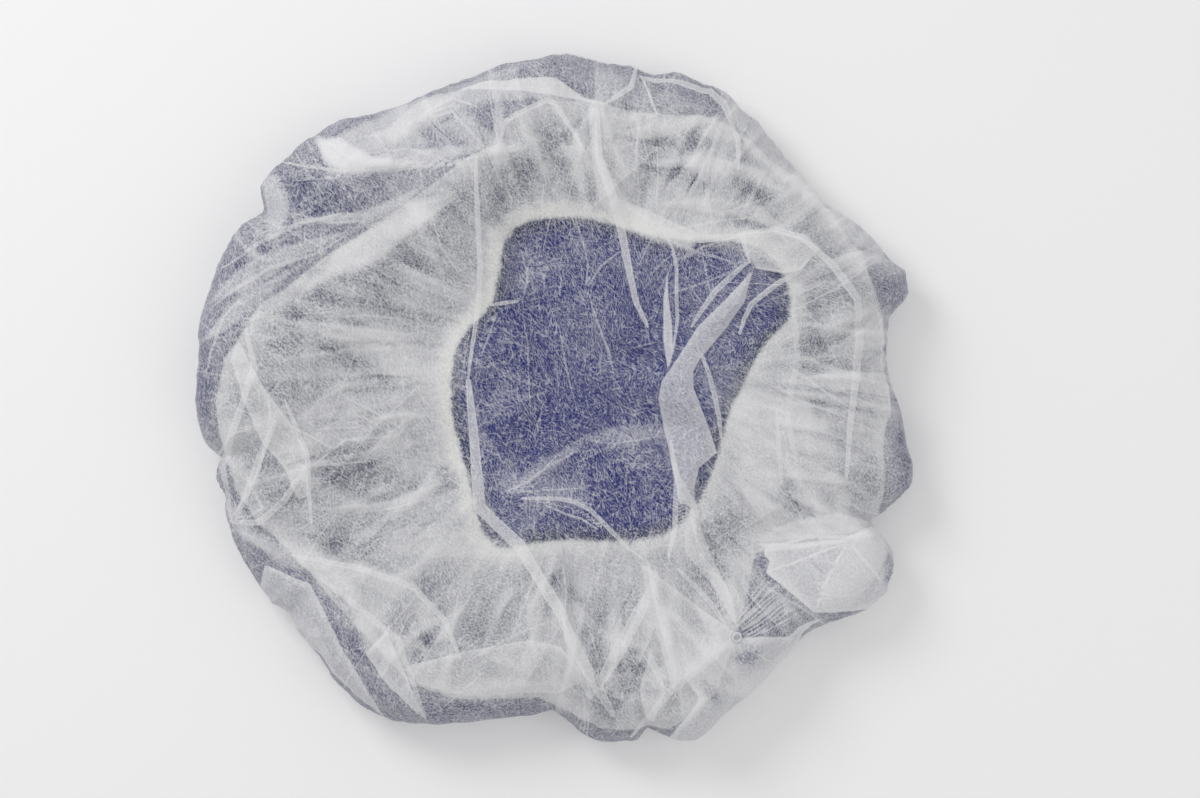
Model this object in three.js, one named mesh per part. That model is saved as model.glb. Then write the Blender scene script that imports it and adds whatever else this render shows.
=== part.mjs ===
// A disposable bouffant hair cover of thin white nonwoven, lying crown up on its gathered elastic
// edge, as it settles after being taken off. One round sheet makes the whole cap: it runs over the
// crown, folds under at the rim and comes back below as a gathered skirt, whose edge is turned into
// a hem casing around a flat elastic. The hollow for the head is open downwards, through the mouth
// that the hem surrounds.
//
// Millimetres, +Z up. The origin is on the surface that the cap lies on, below its middle.
import * as THREE from "three";

// ---------------------------------------------------------------- driving dimensions

const WALL = 1.0; // thickness of the sheet
const GAP = 0.4; // between pieces that lie against each other

const MERIDIANS = 108; // steps around the cap
const PLEATS = 27; // gathers of the skirt, four steps each
const PLEAT_RISE = 4.2; // height of a gather where it meets the hem
const SKIRT_LIFT = 0.3; // the skirt's lowest points above the surface

const HEM_WIDTH = 8; // of the hem casing, across
const HEM_HEIGHT = 4.6;
const HEM_SCALLOP = 0.6; // how far a gather swells the casing
const HEM_ROUNDING = 0.8; // of the casing's edges
const HEM_SLIT = 0.8; // left open beside the turned edge
const CASING_WALL = 1.0;
const ELASTIC_WIDTH = 4.5;
const ELASTIC_THICKNESS = 1.2;

const WELD_RADIUS = 2.6; // of the spot that fuses the crown's pleats
const WELD_THICKNESS = 0.8;
const WELD_SIDES = 16;
const WELD_DEGREES = -52.3; // where it lies: direction from the middle, and share of the rim's reach
const WELD_SHARE = 0.843;

const COLOURS = { web: 0xd9dbe0, hem: 0xe6e6e2, elastic: 0xe9e4d2, weld: 0xf0f1f4 };

/** Turns rows of numbers into objects with named columns. */
function table(columns, rows) {
  return rows.map((row) => Object.fromEntries(columns.map((name, i) => [name, row[i]])));
}

// Corners of the rim, the outer fold, seen from above and anticlockwise from the right.
const RIM = table(
  ["x", "y"],
  [
    [156.8, -2.3], [149.8, 18.1], [152.3, 39.2], [160.4, 49.5], [157.3, 58.7], [140.0, 75.2],
    [122.2, 89.7], [96.5, 118.1], [88.2, 127.8], [75.4, 138.6], [56.5, 146.5], [46.1, 145.2],
    [30.6, 151.3], [2.9, 155.3], [-36.7, 145.6], [-68.6, 132.6], [-105.5, 121.6], [-124.6, 104.2],
    [-131.2, 93.0], [-137.0, 77.4], [-141.0, 78.2], [-156.8, 45.0], [-161.8, 25.7], [-158.9, 15.0],
    [-161.8, -5.4], [-155.9, -19.7], [-150.5, -24.8], [-152.0, -35.8], [-144.2, -58.1],
    [-128.5, -92.3], [-122.9, -92.6], [-92.5, -134.7], [-74.9, -144.5], [-58.7, -147.2],
    [-15.1, -142.9], [0.0, -139.3], [17.1, -151.7], [31.6, -155.7], [44.3, -150.5],
    [54.2, -153.9], [65.5, -152.9], [75.8, -147.0], [111.8, -110.5], [150.8, -87.3],
    [155.3, -73.4], [148.5, -63.0], [142.0, -58.5], [149.2, -52.2], [161.8, -35.8],
  ],
);

// The mouth, the hem's inner edge, in the same order. A smooth closed line runs through these.
const MOUTH = table(
  ["x", "y"],
  [
    [84.8, 5.0], [97.4, 26.8], [105.5, 33.8], [106.7, 46.4], [103.3, 56.7], [95.6, 65.3],
    [81.5, 71.0], [52.9, 72.1], [13.7, 81.6], [-12.6, 79.6], [-20.7, 72.7], [-28.1, 42.8],
    [-42.5, 25.7], [-45.9, -3.2], [-36.7, -41.0], [-33.3, -55.8], [-25.3, -66.8], [2.3, -63.7],
    [36.7, -63.9], [48.2, -61.7], [60.8, -53.6], [72.2, -32.9], [78.0, -12.0],
  ],
);
const MOUTH_CENTRE = new THREE.Vector2(28, 7);

// Stations of the sheet from the pole of the crown out to the rim and under it: share of the rim's
// reach, and height of the sheet's outer face.
const CROWN = table(
  ["share", "height"],
  [
    [0.0, 23.0], [0.2, 23.5], [0.36, 26.0], [0.5, 30.5], [0.62, 35.0], [0.73, 38.0],
    [0.83, 38.5], [0.91, 34.5], [0.965, 27.0], [1.0, 15.5], [0.98, 6.5], [0.93, 2.2],
  ],
);
// Stations of the skirt from there to the hem: share of the way.
const SKIRT = table(["share"], [[0.25], [0.5], [0.75], [1.0]]);

// Swell of the crown around the cap: how much higher or lower the padded ring stands there.
const SWELL = table(
  ["degrees", "factor"],
  [
    [0, 0.92], [40, 1.06], [75, 0.94], [105, 1.05], [140, 0.98], [175, 1.08],
    [210, 0.9], [240, 1.04], [275, 0.95], [300, 1.08], [330, 0.86], [360, 0.92],
  ],
);

// Main folds of the crown: ridges from one place to another, and dents where rise is negative.
const FOLDS = table(
  ["x0", "y0", "x1", "y1", "rise", "half_width"],
  [
    [-36, 128, -20, -6, 3.0, 9],
    [-22, 60, -32, -34, 2.6, 8],
    [-34, -44, 16, -112, 3.4, 8],
    [22, 132, 22, 92, 3.0, 8],
    [24, 90, 42, 34, 2.6, 8],
    [88, 62, 50, 2, 4.0, 9],
    [52, 0, 46, -62, 3.6, 9],
    [-150, -20, -20, 112, 3.4, 11],
    [-150, 10, -118, -66, -3.2, 12],
    [-112, -100, -64, -132, 3.0, 10],
    [98, 118, 134, 44, 3.4, 11],
    [134, 44, 136, -40, 3.0, 11],
    [86, -66, 150, -58, -5.0, 10],
    [36, -146, 84, -100, 3.6, 9],
    [-104, 112, -40, 124, -3.4, 11],
  ],
);

// ---------------------------------------------------------------- outlines

/** How far a closed line reaches from a centre in the direction of an angle. */
function reach(line, centre, angle) {
  const direction = new THREE.Vector2(Math.cos(angle), Math.sin(angle));
  let farthest = 0;
  line.forEach((a, i) => {
    const b = line[(i + 1) % line.length];
    const from = new THREE.Vector2(a.x, a.y).sub(centre);
    const along = new THREE.Vector2(b.x - a.x, b.y - a.y);
    const turn = direction.cross(along);
    if (Math.abs(turn) < 1e-9) return;
    const distance = from.cross(along) / turn;
    const share = from.cross(direction) / turn;
    if (share > -1e-9 && share < 1 + 1e-9) farthest = Math.max(farthest, distance);
  });
  return farthest;
}

const RIM_CENTRE = new THREE.Vector2(0, 0);
const mouthLine = new THREE.CatmullRomCurve3(
  MOUTH.map((p) => new THREE.Vector3(p.x, p.y, 0)),
  true,
).getPoints(240);

/** A point of the rim, share of the way out from the middle. */
function rimPoint(angle, share) {
  return new THREE.Vector2(Math.cos(angle), Math.sin(angle)).multiplyScalar(share * reach(RIM, RIM_CENTRE, angle));
}

/** A point beside the mouth, that far outside the hem's inner edge. */
function mouthPoint(angle, outside) {
  const distance = reach(mouthLine, MOUTH_CENTRE, angle) + outside;
  return new THREE.Vector2(Math.cos(angle), Math.sin(angle)).multiplyScalar(distance).add(MOUTH_CENTRE);
}

// ---------------------------------------------------------------- the sheet

const smooth = (t) => t * t * (3 - 2 * t);

/** The crown's swell at an angle, eased between the rows of its table. */
function swellAt(angle) {
  const degrees = THREE.MathUtils.euclideanModulo(THREE.MathUtils.radToDeg(angle), 360);
  const next = SWELL.findIndex((row) => row.degrees >= degrees - 1e-9);
  const b = SWELL[Math.max(next, 1)];
  const a = SWELL[Math.max(next, 1) - 1];
  return THREE.MathUtils.lerp(a.factor, b.factor, smooth((degrees - a.degrees) / (b.degrees - a.degrees)));
}

/** What the main folds add to the crown's height at a place. */
function foldRise(place) {
  return FOLDS.reduce((sum, fold) => {
    const a = new THREE.Vector2(fold.x0, fold.y0);
    const along = new THREE.Vector2(fold.x1, fold.y1).sub(a);
    const share = place.clone().sub(a).dot(along) / along.lengthSq();
    const near = a.clone().addScaledVector(along, THREE.MathUtils.clamp(share, 0, 1));
    const closeness = Math.max(0, 1 - place.distanceTo(near) / (2 * fold.half_width));
    return sum + fold.rise * smooth(closeness);
  }, 0);
}

/** How high the skirt's gathers stand, from 0 in a valley to 1 on a ridge. */
const gather = (angle) => (1 - Math.cos(PLEATS * angle)) / 2;

const RIM_STATION = CROWN.findIndex((row) => row.share === 1);
const STATIONS = CROWN.length + SKIRT.length;

/** The sheet's outer face: a point at an angle and a whole-numbered station. */
function sheetPoint(angle, station) {
  if (station < CROWN.length) {
    const { share, height } = CROWN[station];
    const place = rimPoint(angle, share);
    const padded = THREE.MathUtils.lerp(1, swellAt(angle), smooth(THREE.MathUtils.clamp(share, 0, 1)));
    const above = station < RIM_STATION ? foldRise(place) * (1 - share ** 6) : 0;
    return new THREE.Vector3(place.x, place.y, height * (station <= RIM_STATION ? padded : 1) + above);
  }
  const { share } = SKIRT[station - CROWN.length];
  const start = rimPoint(angle, CROWN[CROWN.length - 1].share);
  const place = start.lerp(mouthPoint(angle, HEM_WIDTH + GAP), share);
  return new THREE.Vector3(place.x, place.y, SKIRT_LIFT + PLEAT_RISE * gather(angle) * smooth(share));
}

/** The crown's outer face between stations: a point at an angle and a share of the rim's reach. */
function crownSurface(angle, share) {
  const next = CROWN.findIndex((row) => row.share > share);
  const inner = sheetPoint(angle, next - 1);
  const outer = sheetPoint(angle, next);
  return inner.lerp(outer, (share - CROWN[next - 1].share) / (CROWN[next].share - CROWN[next - 1].share));
}

/** The direction from the sheet's outer face into its thickness. */
function inward(angle, station) {
  if (station === 0) return new THREE.Vector3(0, 0, -1);
  const turn = (2 * Math.PI) / MERIDIANS;
  const around = sheetPoint(angle + turn, station).sub(sheetPoint(angle - turn, station));
  const along = sheetPoint(angle, Math.min(station + 1, STATIONS - 1)).sub(sheetPoint(angle, station - 1));
  return around.cross(along).normalize();
}

/**
 * A closed body swept around an axis. The lathe gives its faces, and place(angle, i) then sets where
 * the i-th point of its profile goes.
 */
function sweptBody(profileLength, closed, place) {
  const onAxis = (i) => !closed && (i === 0 || i === profileLength - 1);
  const ring = Array.from({ length: profileLength }, (_, i) => new THREE.Vector2(onAxis(i) ? 0 : 1, -i));
  if (closed) ring.push(ring[0]);
  const geometry = new THREE.LatheGeometry(ring, MERIDIANS);
  const position = geometry.getAttribute("position");
  for (let i = 0; i < position.count; i++) {
    const meridian = Math.floor(i / ring.length) % MERIDIANS;
    const point = place((-2 * Math.PI * meridian) / MERIDIANS, (i % ring.length) % profileLength);
    position.setXYZ(i, point.x, point.y, point.z);
  }
  geometry.computeVertexNormals();
  return geometry;
}

/** The cap's one sheet: crown, rim and gathered skirt, as a wall that is open at the mouth. */
function bouffantBody() {
  return sweptBody(2 * STATIONS, false, (angle, i) => {
    if (i < STATIONS) return sheetPoint(angle, i);
    const station = 2 * STATIONS - 1 - i;
    return sheetPoint(angle, station).addScaledVector(inward(angle, station), WALL);
  });
}

// ---------------------------------------------------------------- hem and elastic

/** A ring around the mouth with that section: rows of distance outside the mouth, and height. */
function ringAroundMouth(section) {
  return sweptBody(section.length, true, (angle, i) => {
    const { outside, height, scalloped } = section[i];
    const swollen = scalloped ? HEM_SCALLOP * gather(angle) : 0;
    const place = mouthPoint(angle, outside);
    return new THREE.Vector3(place.x, place.y, height + swollen);
  });
}

/**
 * The hem casing: the sheet's edge turned over the elastic, with a flat foot and a slit along the
 * top where the turned edge ends.
 */
function hemCasing() {
  const inside = CASING_WALL;
  const outside = HEM_WIDTH - CASING_WALL;
  const ceiling = HEM_HEIGHT - CASING_WALL;
  return ringAroundMouth([
    { outside: HEM_ROUNDING, height: 0 },
    { outside: 0, height: HEM_HEIGHT / 2 },
    { outside: HEM_ROUNDING, height: HEM_HEIGHT, scalloped: true },
    { outside: outside - HEM_SLIT, height: HEM_HEIGHT, scalloped: true },
    { outside: outside - HEM_SLIT, height: ceiling, scalloped: true },
    { outside: inside, height: ceiling, scalloped: true },
    { outside: inside, height: CASING_WALL },
    { outside, height: CASING_WALL },
    { outside, height: HEM_HEIGHT, scalloped: true },
    { outside: HEM_WIDTH, height: HEM_HEIGHT / 2 },
    { outside: HEM_WIDTH - HEM_ROUNDING, height: 0 },
  ]);
}

/** The flat elastic that draws the hem in, lying inside the casing. */
function elasticBand() {
  const inner = (HEM_WIDTH - ELASTIC_WIDTH) / 2;
  const foot = CASING_WALL + GAP;
  return ringAroundMouth([
    { outside: inner, height: foot },
    { outside: inner, height: foot + ELASTIC_THICKNESS },
    { outside: HEM_WIDTH - inner, height: foot + ELASTIC_THICKNESS },
    { outside: HEM_WIDTH - inner, height: foot },
  ]);
}

// ---------------------------------------------------------------- weld

/** The spot weld: a small fused button that lies on the crown and follows its slope. */
function spotWeld() {
  const angle = THREE.MathUtils.degToRad(WELD_DEGREES);
  const step = 0.01;
  const at = crownSurface(angle, WELD_SHARE);
  const outwards = crownSurface(angle, WELD_SHARE + step).sub(at);
  const around = crownSurface(angle + step, WELD_SHARE).sub(at);
  const normal = outwards.cross(around).normalize();
  const button = new THREE.CylinderGeometry(0.8 * WELD_RADIUS, WELD_RADIUS, WELD_THICKNESS, WELD_SIDES);
  button.applyQuaternion(new THREE.Quaternion().setFromUnitVectors(new THREE.Vector3(0, 1, 0), normal));
  const lift = GAP + WELD_THICKNESS / 2;
  const centre = at.addScaledVector(normal, lift);
  return button.translate(centre.x, centre.y, centre.z);
}

// ---------------------------------------------------------------- assembly

/** A named piece in its own material. */
function piece(name, geometry, color, roughness) {
  const material = new THREE.MeshStandardMaterial({ color, roughness, metalness: 0 });
  const mesh = new THREE.Mesh(geometry, material);
  mesh.name = name;
  return mesh;
}

const cap = new THREE.Group();
cap.add(piece("bouffant_body", bouffantBody(), COLOURS.web, 0.75));
cap.add(piece("hem_casing", hemCasing(), COLOURS.hem, 0.8));
cap.add(piece("elastic_band", elasticBand(), COLOURS.elastic, 0.6));
cap.add(piece("pleat_weld", spotWeld(), COLOURS.weld, 0.5));

export default cap;
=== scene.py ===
"""The looks of a disposable bouffant hair cap, crown up on its gathered elastic hem.

The cap is one round of thin white spunbond web. It is built here from its flat cut: every point of
the cut has a place on the form that the frame holds, and the folds, creases and gathers move it from
there. The same folds say how many layers of web lie over each other at a place, and so how white it is:
where few layers lie, a painted dark blue shade shows through the fibres.

Places and sizes are in millimetres, but for the studio's, which are in metres.
"""

import logging
import math
from dataclasses import dataclass, field
from enum import Enum

import bpy
import numpy as np
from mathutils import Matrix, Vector
from mathutils.bvhtree import BVHTree

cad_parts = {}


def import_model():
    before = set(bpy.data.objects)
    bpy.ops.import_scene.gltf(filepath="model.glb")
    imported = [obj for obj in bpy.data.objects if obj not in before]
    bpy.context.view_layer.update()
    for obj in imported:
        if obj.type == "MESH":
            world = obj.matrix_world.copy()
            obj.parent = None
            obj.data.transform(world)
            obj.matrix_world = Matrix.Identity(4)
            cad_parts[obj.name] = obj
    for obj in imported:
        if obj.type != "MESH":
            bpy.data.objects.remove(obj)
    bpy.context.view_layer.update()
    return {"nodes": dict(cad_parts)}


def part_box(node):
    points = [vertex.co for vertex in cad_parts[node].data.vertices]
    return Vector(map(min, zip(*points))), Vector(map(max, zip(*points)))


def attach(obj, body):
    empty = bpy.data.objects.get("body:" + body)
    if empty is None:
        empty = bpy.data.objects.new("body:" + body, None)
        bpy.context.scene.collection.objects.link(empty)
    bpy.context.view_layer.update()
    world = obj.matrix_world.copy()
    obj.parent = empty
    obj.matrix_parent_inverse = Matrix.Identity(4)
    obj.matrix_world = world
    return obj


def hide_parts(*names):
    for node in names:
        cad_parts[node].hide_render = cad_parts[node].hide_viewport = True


MM = 0.001  # one millimetre, in the scene's metres
FLAT_DIAMETER = 533.0  # of the round cut, in millimetres

logging.basicConfig(level=logging.INFO, format="%(message)s")
log = logging.getLogger("hair_cap")

Points = tuple[tuple[float, float], ...]
Span = tuple[float, float]
Tone = tuple[float, float, float]
Place = tuple[float, float, float]
# What a node's input takes: another node's output, a number or a colour.
Given = bpy.types.NodeSocket | float | tuple[float, ...]


class Slot(Enum):
    """Names for material slots of the pieces that are built here; no piece is given one."""

    WEB = "nonwoven_web"
    HEM = "hem_web"
    WELD = "fused_web"


# ------------------------------------------------------------------ how the web lies


@dataclass(frozen=True)
class Tuck:
    """A narrow fold of the crown: the web lies three layers thick along a line.

    Places and sizes are in millimetres, from the middle of the cap.
    """

    name: str
    route: Points
    width: float
    plies: float = 5.0
    rise: float = 1.4


@dataclass(frozen=True)
class Flap:
    """A wide fold of the crown: the web lies over itself within an outline."""

    name: str
    outline: Points
    plies: float
    rise: float = 1.0
    crisp: bool = False
    feather: float = 1.4


@dataclass(frozen=True)
class Patch:
    """A place where the web below lies thicker or thinner, without an edge."""

    name: str
    x: float
    y: float
    reach_x: float
    reach_y: float
    degrees: float
    plies: float


@dataclass(frozen=True)
class Crease:
    """A sharp line where the web has been folded and opened again."""

    route: Points
    width: float = 0.8
    plies: float = 2.6
    rise: float = 0.6


@dataclass(frozen=True)
class Veil:
    """A long fold of loose web: sharp along its line, fading away on the line's left."""

    route: Points
    fade: float
    plies: float


@dataclass(frozen=True)
class ChanceFolds:
    """Folds of a kind that lie by chance: how many, and between what sizes."""

    count: int
    length: Span
    sway: float  # the spread of their headings, in radians
    bend: float  # the spread of the bend in their middle, in radians
    width: Span  # or how far a veil fades
    plies: Span


@dataclass(frozen=True)
class Notch:
    """A small step of the rim's outline: inwards, or outwards where its depth is negative."""

    degrees: float
    width: float
    depth: float


NOTCHES = (
    Notch(14.0, 2.0, 1.6), Notch(147.0, 2.4, 3.8), Notch(150.6, 1.6, -1.6), Notch(144.0, 1.6, -1.2),
    Notch(190.0, 2.2, 2.6), Notch(196.6, 1.8, 2.2), Notch(216.0, 1.4, -1.6), Notch(219.2, 2.4, 2.2),
    Notch(286.0, 1.3, 3.2), Notch(283.6, 1.4, -1.6), Notch(321.0, 4.5, 2.6), Notch(335.6, 2.4, -3.4),
    Notch(338.6, 2.0, 7.0), Notch(69.0, 2.0, -0.8), Notch(46.0, 2.5, 0.8), Notch(20.0, 2.5, -1.0),
)

TUCKS = (
    Tuck(
        "left long tuck, above",
        ((-34, 109), (-34, 95), (-33, 72), (-32, 60), (-33, 45), (-38, 9)),
        2.2, 4.0,
    ),
    Tuck(
        "left long tuck",
        ((-38, 9), (-36, -11), (-34, -35), (-33, -49), (-15, -66), (3, -95), (16, -124)),
        5.2,
    ),
    Tuck("centre tuck", ((20, 131), (21, 108), (27, 90), (31, 76), (35, 57), (38, 43), (43, 32)), 3.4),
    Tuck("double line", ((50, 76), (54, 69), (56, 60), (56, 50), (56, 37), (55, 22)), 1.5, 4.0),
    Tuck("ridge edge", ((88, 62), (74, 49), (65, 37), (62, 32)), 2.4, 4.0),
    Tuck("right branch", ((115, 63), (110, 57), (101, 52), (89, 43), (86, 36), (84, 29)), 2.4),
    Tuck("right branch top", ((91, 59), (98, 58), (104, 57), (111, 58)), 1.1),
    Tuck("right corner", ((84, 74), (89, 61)), 1.3),
    Tuck("ridge tail", ((67, 21), (71, 9), (75, -8), (76, -18)), 2.2, 4.0),
    Tuck(
        "lower strip",
        ((-15, -45), (3, -45), (9, -46), (17, -50), (26, -59), (34, -67), (42, -72)),
        2.0, 4.0,
    ),
    Tuck("lower strip beside", ((-3, -48), (6, -52), (13, -54), (21, -59)), 1.0, 3.0),
    Tuck("ridge foot", ((53, -18), (56, -36), (55, -58), (52, -72)), 2.4, 4.0),
    Tuck("weld strip", ((57, -36), (62, -47), (62, -68), (76, -85), (82, -99)), 5.0, 3.0),
    Tuck("weld line", ((56, -76), (70, -90), (79, -103)), 2.0, 3.0),
    Tuck(
        "right arc",
        ((84, 74), (100, 76), (112, 72), (126, 59), (136, 45), (137, 27), (134, -9), (132, -36)),
        3.4, 4.0,
    ),
    Tuck("right rim", ((39, 146), (56, 143), (71, 139), (77, 133), (80, 124), (83, 116), (83, 102)), 2.6),
    Tuck(
        "top peak",
        ((-24, 113), (-21, 124), (-11, 130), (-3, 134), (1, 133), (8, 122), (15, 111)),
        2.2, 4.0,
    ),
    Tuck("top line", ((38, 151), (35, 139), (23, 132)), 2.2),
    Tuck("top right line", ((40, 146), (47, 127)), 1.1),
    Tuck("upper long tuck", ((27, 90), (46, 81), (66, 72), (84, 73)), 4.0, 3.5),
    Tuck("bottom strip", ((46, -84), (20, -130)), 6.0, 3.5),
    Tuck("bottom strip beside", ((43, -72), (52, -108), (58, -135)), 2.6, 3.0),
    Tuck("bottom left strip", ((3, -98), (14, -117), (28, -143)), 4.5, 3.0),
    Tuck("bottom ridge", ((82, -106), (66, -120), (53, -130), (35, -153)), 3.0, 4.0),
    Tuck("lower left long", ((-117, -70), (-87, -76), (-62, -85), (-48, -100), (-41, -117)), 2.8, 3.0),
    Tuck("lower left middle", ((-114, -72), (-91, -90), (-69, -108), (-57, -144)), 2.4, 3.0),
    Tuck("left inner edge", ((-120, 0), (-116, -10), (-110, -25), (-109, -43), (-108, -56)), 2.0, 3.5),
    Tuck("left fan, outer", ((-137, 32), (-133, 13), (-141, -9), (-149, -31), (-144, -54)), 3.0, 3.5),
    Tuck("left fan, middle", ((-124, -9), (-133, -31), (-142, -54)), 3.4, 3.5),
    Tuck("left fan, inner", ((-110, -29), (-120, -45), (-131, -55), (-145, -55)), 2.8, 3.5),
    Tuck("right outer line", ((140, 60), (147, 42), (150, 15), (151, -9)), 2.0, 3.0),
    Tuck("right inner line", ((108, 44), (110, 18), (106, -6), (110, -30)), 2.6, 1.8),
    Tuck("right strip", ((101, -4), (102, -20), (103, -39)), 2.0, 2.5),
)

FLAPS = (
    Flap("lens", ((52, 59), (50, 45), (50, 30), (52, 13), (55, 22), (54, 30), (52, 47)), 4.5, crisp=True),
    Flap(
        "ridge",
        (
            (90, 58), (76, 43), (65, 32), (59, 22), (50, 8), (48, 0), (50, -13), (54, -31), (57, -47),
            (62, -48), (66, -31), (74, -24), (69, -9), (63, 5), (63, 12), (67, 19), (78, 32), (86, 44),
        ),
        4.0,
        2.6,
        crisp=True,
    ),
    Flap(
        "right hood",
        ((84, 74), (100, 76), (112, 72), (120, 67), (111, 58), (104, 57), (91, 59)),
        3.0,
        crisp=True,
    ),
    Flap(
        "top band",
        (
            (-84, 117), (-69, 126), (-51, 137), (-28, 142), (-10, 143), (2, 143), (14, 136), (23, 132),
            (4, 134), (-10, 135), (-29, 132), (-51, 124), (-69, 115),
        ),
        3.4,
        feather=2.0,
    ),
    Flap(
        "top band, upper edge",
        ((-42, 137), (-28, 142), (-10, 144), (2, 144), (14, 136), (23, 132), (10, 135), (-12, 138)),
        4.0,
        crisp=True,
    ),
    Flap(
        "white wedge",
        (
            (-108, 119), (-102, 117), (-96, 117), (-90, 113), (-81, 108), (-60, 106), (-39, 105),
            (-69, 104), (-93, 101), (-102, 106),
        ),
        12.0,
        1.6,
        feather=3.0,
    ),
    Flap(
        "soft wedge",
        (
            (-96, 117), (-86, 125), (-72, 133), (-51, 135), (-37, 138), (-46, 129), (-60, 120),
            (-55, 115), (-69, 108), (-87, 108),
        ),
        3.6,
        feather=5.0,
    ),
    Flap(
        "upper right rim",
        (
            (72, 143), (80, 139), (92, 130), (106, 117), (124, 100), (139, 86), (150, 76), (151, 66),
            (138, 68), (120, 84), (102, 99), (86, 113), (78, 132),
        ),
        3.6,
        feather=2.5,
    ),
    Flap(
        "right flap",
        (
            (92, -65), (96, -67), (95, -70), (98, -72), (96, -78), (107, -87), (117, -95), (136, -95),
            (154, -91), (160, -76), (156, -63), (143, -58), (129, -63), (111, -65),
        ),
        6.0,
        1.0,
        crisp=True,
    ),
    Flap(
        "right flap, facet",
        ((117, -95), (132, -65), (143, -58), (152, -65), (147, -76), (134, -92)),
        3.0,
        0.8,
    ),
    Flap(
        "pinch fold",
        ((92, -65), (100, -58), (111, -54), (127, -51), (143, -56), (132, -61), (111, -63)),
        5.0, 0.5,
    ),
    Flap(
        "right zone",
        (
            (80, 0), (79, -18), (81, -31), (87, -47), (92, -65), (111, -57), (142, -57), (134, -40),
            (126, -10), (111, 2), (93, 5),
        ),
        2.2,
        0.8,
        feather=9.0,
    ),
    Flap(
        "centre fold",
        (
            (16, 132), (20, 131), (21, 113), (27, 99), (35, 88), (48, 78), (66, 72), (62, 67), (48, 70),
            (33, 76), (21, 88), (18, 104),
        ),
        4.5,
        1.2,
        feather=1.6,
    ),
    Flap(
        "bottom left veil",
        ((-109, -83), (-87, -72), (-62, -83), (-51, -99), (-66, -120), (-84, -114)),
        1.6, 0.5,
    ),
    Flap(
        "left fan ribbon",
        (
            (-141, 27), (-129, 5), (-117, -11), (-110, -24), (-109, -43), (-114, -45), (-120, -31),
            (-131, -18), (-138, 0), (-144, 18),
        ),
        3.0,
        crisp=True,
    ),
    Flap(
        "lower left arc",
        (
            (-145, -56), (-114, -66), (-87, -72), (-62, -83), (-48, -99), (-41, -113), (-47, -130),
            (-52, -114), (-62, -96), (-82, -85), (-114, -76), (-136, -65),
        ),
        1.6,
        1.2,
        feather=2.5,
    ),
    Flap(
        "lower left triangle",
        ((-134, -90), (-130, -75), (-109, -83), (-93, -112), (-76, -144), (-102, -120), (-119, -104)),
        3.6,
        1.4,
        crisp=True,
    ),
    Flap(
        "lower left second triangle",
        ((-84, -114), (-74, -104), (-68, -119), (-57, -144), (-73, -130)),
        4.0,
        1.2,
        crisp=True,
    ),
    Flap(
        "bottom band",
        (
            (-66, -120), (-39, -113), (-10, -108), (4, -111), (17, -124), (3, -132), (-30, -133),
            (-48, -131), (-60, -128),
        ),
        2.6,
        1.0,
        crisp=True,
    ),
    Flap(
        "bottom wedge",
        ((39, -72), (48, -80), (82, -105), (62, -120), (54, -130), (48, -108)),
        2.4, crisp=True,
    ),
    Flap(
        "bottom flap",
        (
            (57, -122), (65, -114), (80, -108), (93, -106), (107, -107), (121, -97), (114, -110),
            (107, -126), (93, -141), (78, -152), (64, -156), (52, -155), (56, -146), (66, -134),
        ),
        5.2,
        1.2,
        crisp=True,
    ),
    Flap(
        "bottom flap, bright",
        ((75, -130), (89, -121), (107, -112), (114, -110), (107, -126), (93, -141), (87, -137)),
        3.0,
        feather=3.0,
    ),
    Flap(
        "bottom left fold",
        ((21, -130), (39, -94), (46, -76), (52, -85), (44, -108), (31, -135)),
        2.4, crisp=True,
    ),
    Flap("bottom middle fold", ((3, -94), (15, -112), (21, -130), (17, -135), (8, -117)), 2.4, crisp=True),
    Flap("bottom right fold", ((39, -130), (44, -112), (51, -130), (46, -144), (42, -141)), 2.4, crisp=True),
    Flap("left rim, outer", ((-156, 43), (-141, 59), (-120, 69), (-91, 76), (-114, 63), (-136, 49)), 2.6),
    Flap("left rim, inner", ((-159, 25), (-147, 41), (-131, 52), (-114, 60), (-131, 43), (-147, 30)), 2.6),
    Flap("left rim, knot", ((-131, 100), (-124, 101), (-119, 93), (-119, 84), (-123, 68), (-127, 72)), 3.4),
    Flap("left small triangle", ((-144, 80), (-136, 68), (-126, 62), (-134, 62), (-141, 70)), 3.2),
    Flap("upper left, lower veil", ((-118, 79), (-100, 83), (-84, 84), (-55, 97), (-69, 85), (-91, 78)), 2.8),
    Flap(
        "upper left, middle veil",
        ((-100, 106), (-78, 109), (-51, 113), (-24, 113), (-44, 108), (-73, 103)),
        3.4,
    ),
    Flap("upper left, upper veil", ((-51, 122), (-39, 129), (-21, 114), (-10, 113), (-28, 108)), 2.8),
    Flap("upper right, first arc", ((28, 119), (44, 124), (62, 127), (78, 126), (62, 121), (44, 116)), 2.8),
    Flap("upper right, second arc", ((39, 106), (66, 110), (91, 104), (107, 90), (89, 97), (66, 103)), 2.8),
    Flap("upper right, third arc", ((46, 88), (66, 91), (93, 87), (111, 72), (89, 80), (66, 84)), 3.2),
    Flap("upper right, steep fold", ((51, 95), (62, 108), (69, 113), (68, 95), (62, 84)), 2.4),
    Flap(
        "strip to the weld",
        ((62, -31), (66, -54), (69, -65), (80, -90), (83, -103), (76, -92), (66, -72), (62, -54)),
        2.4, crisp=True,
    ),
)

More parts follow.
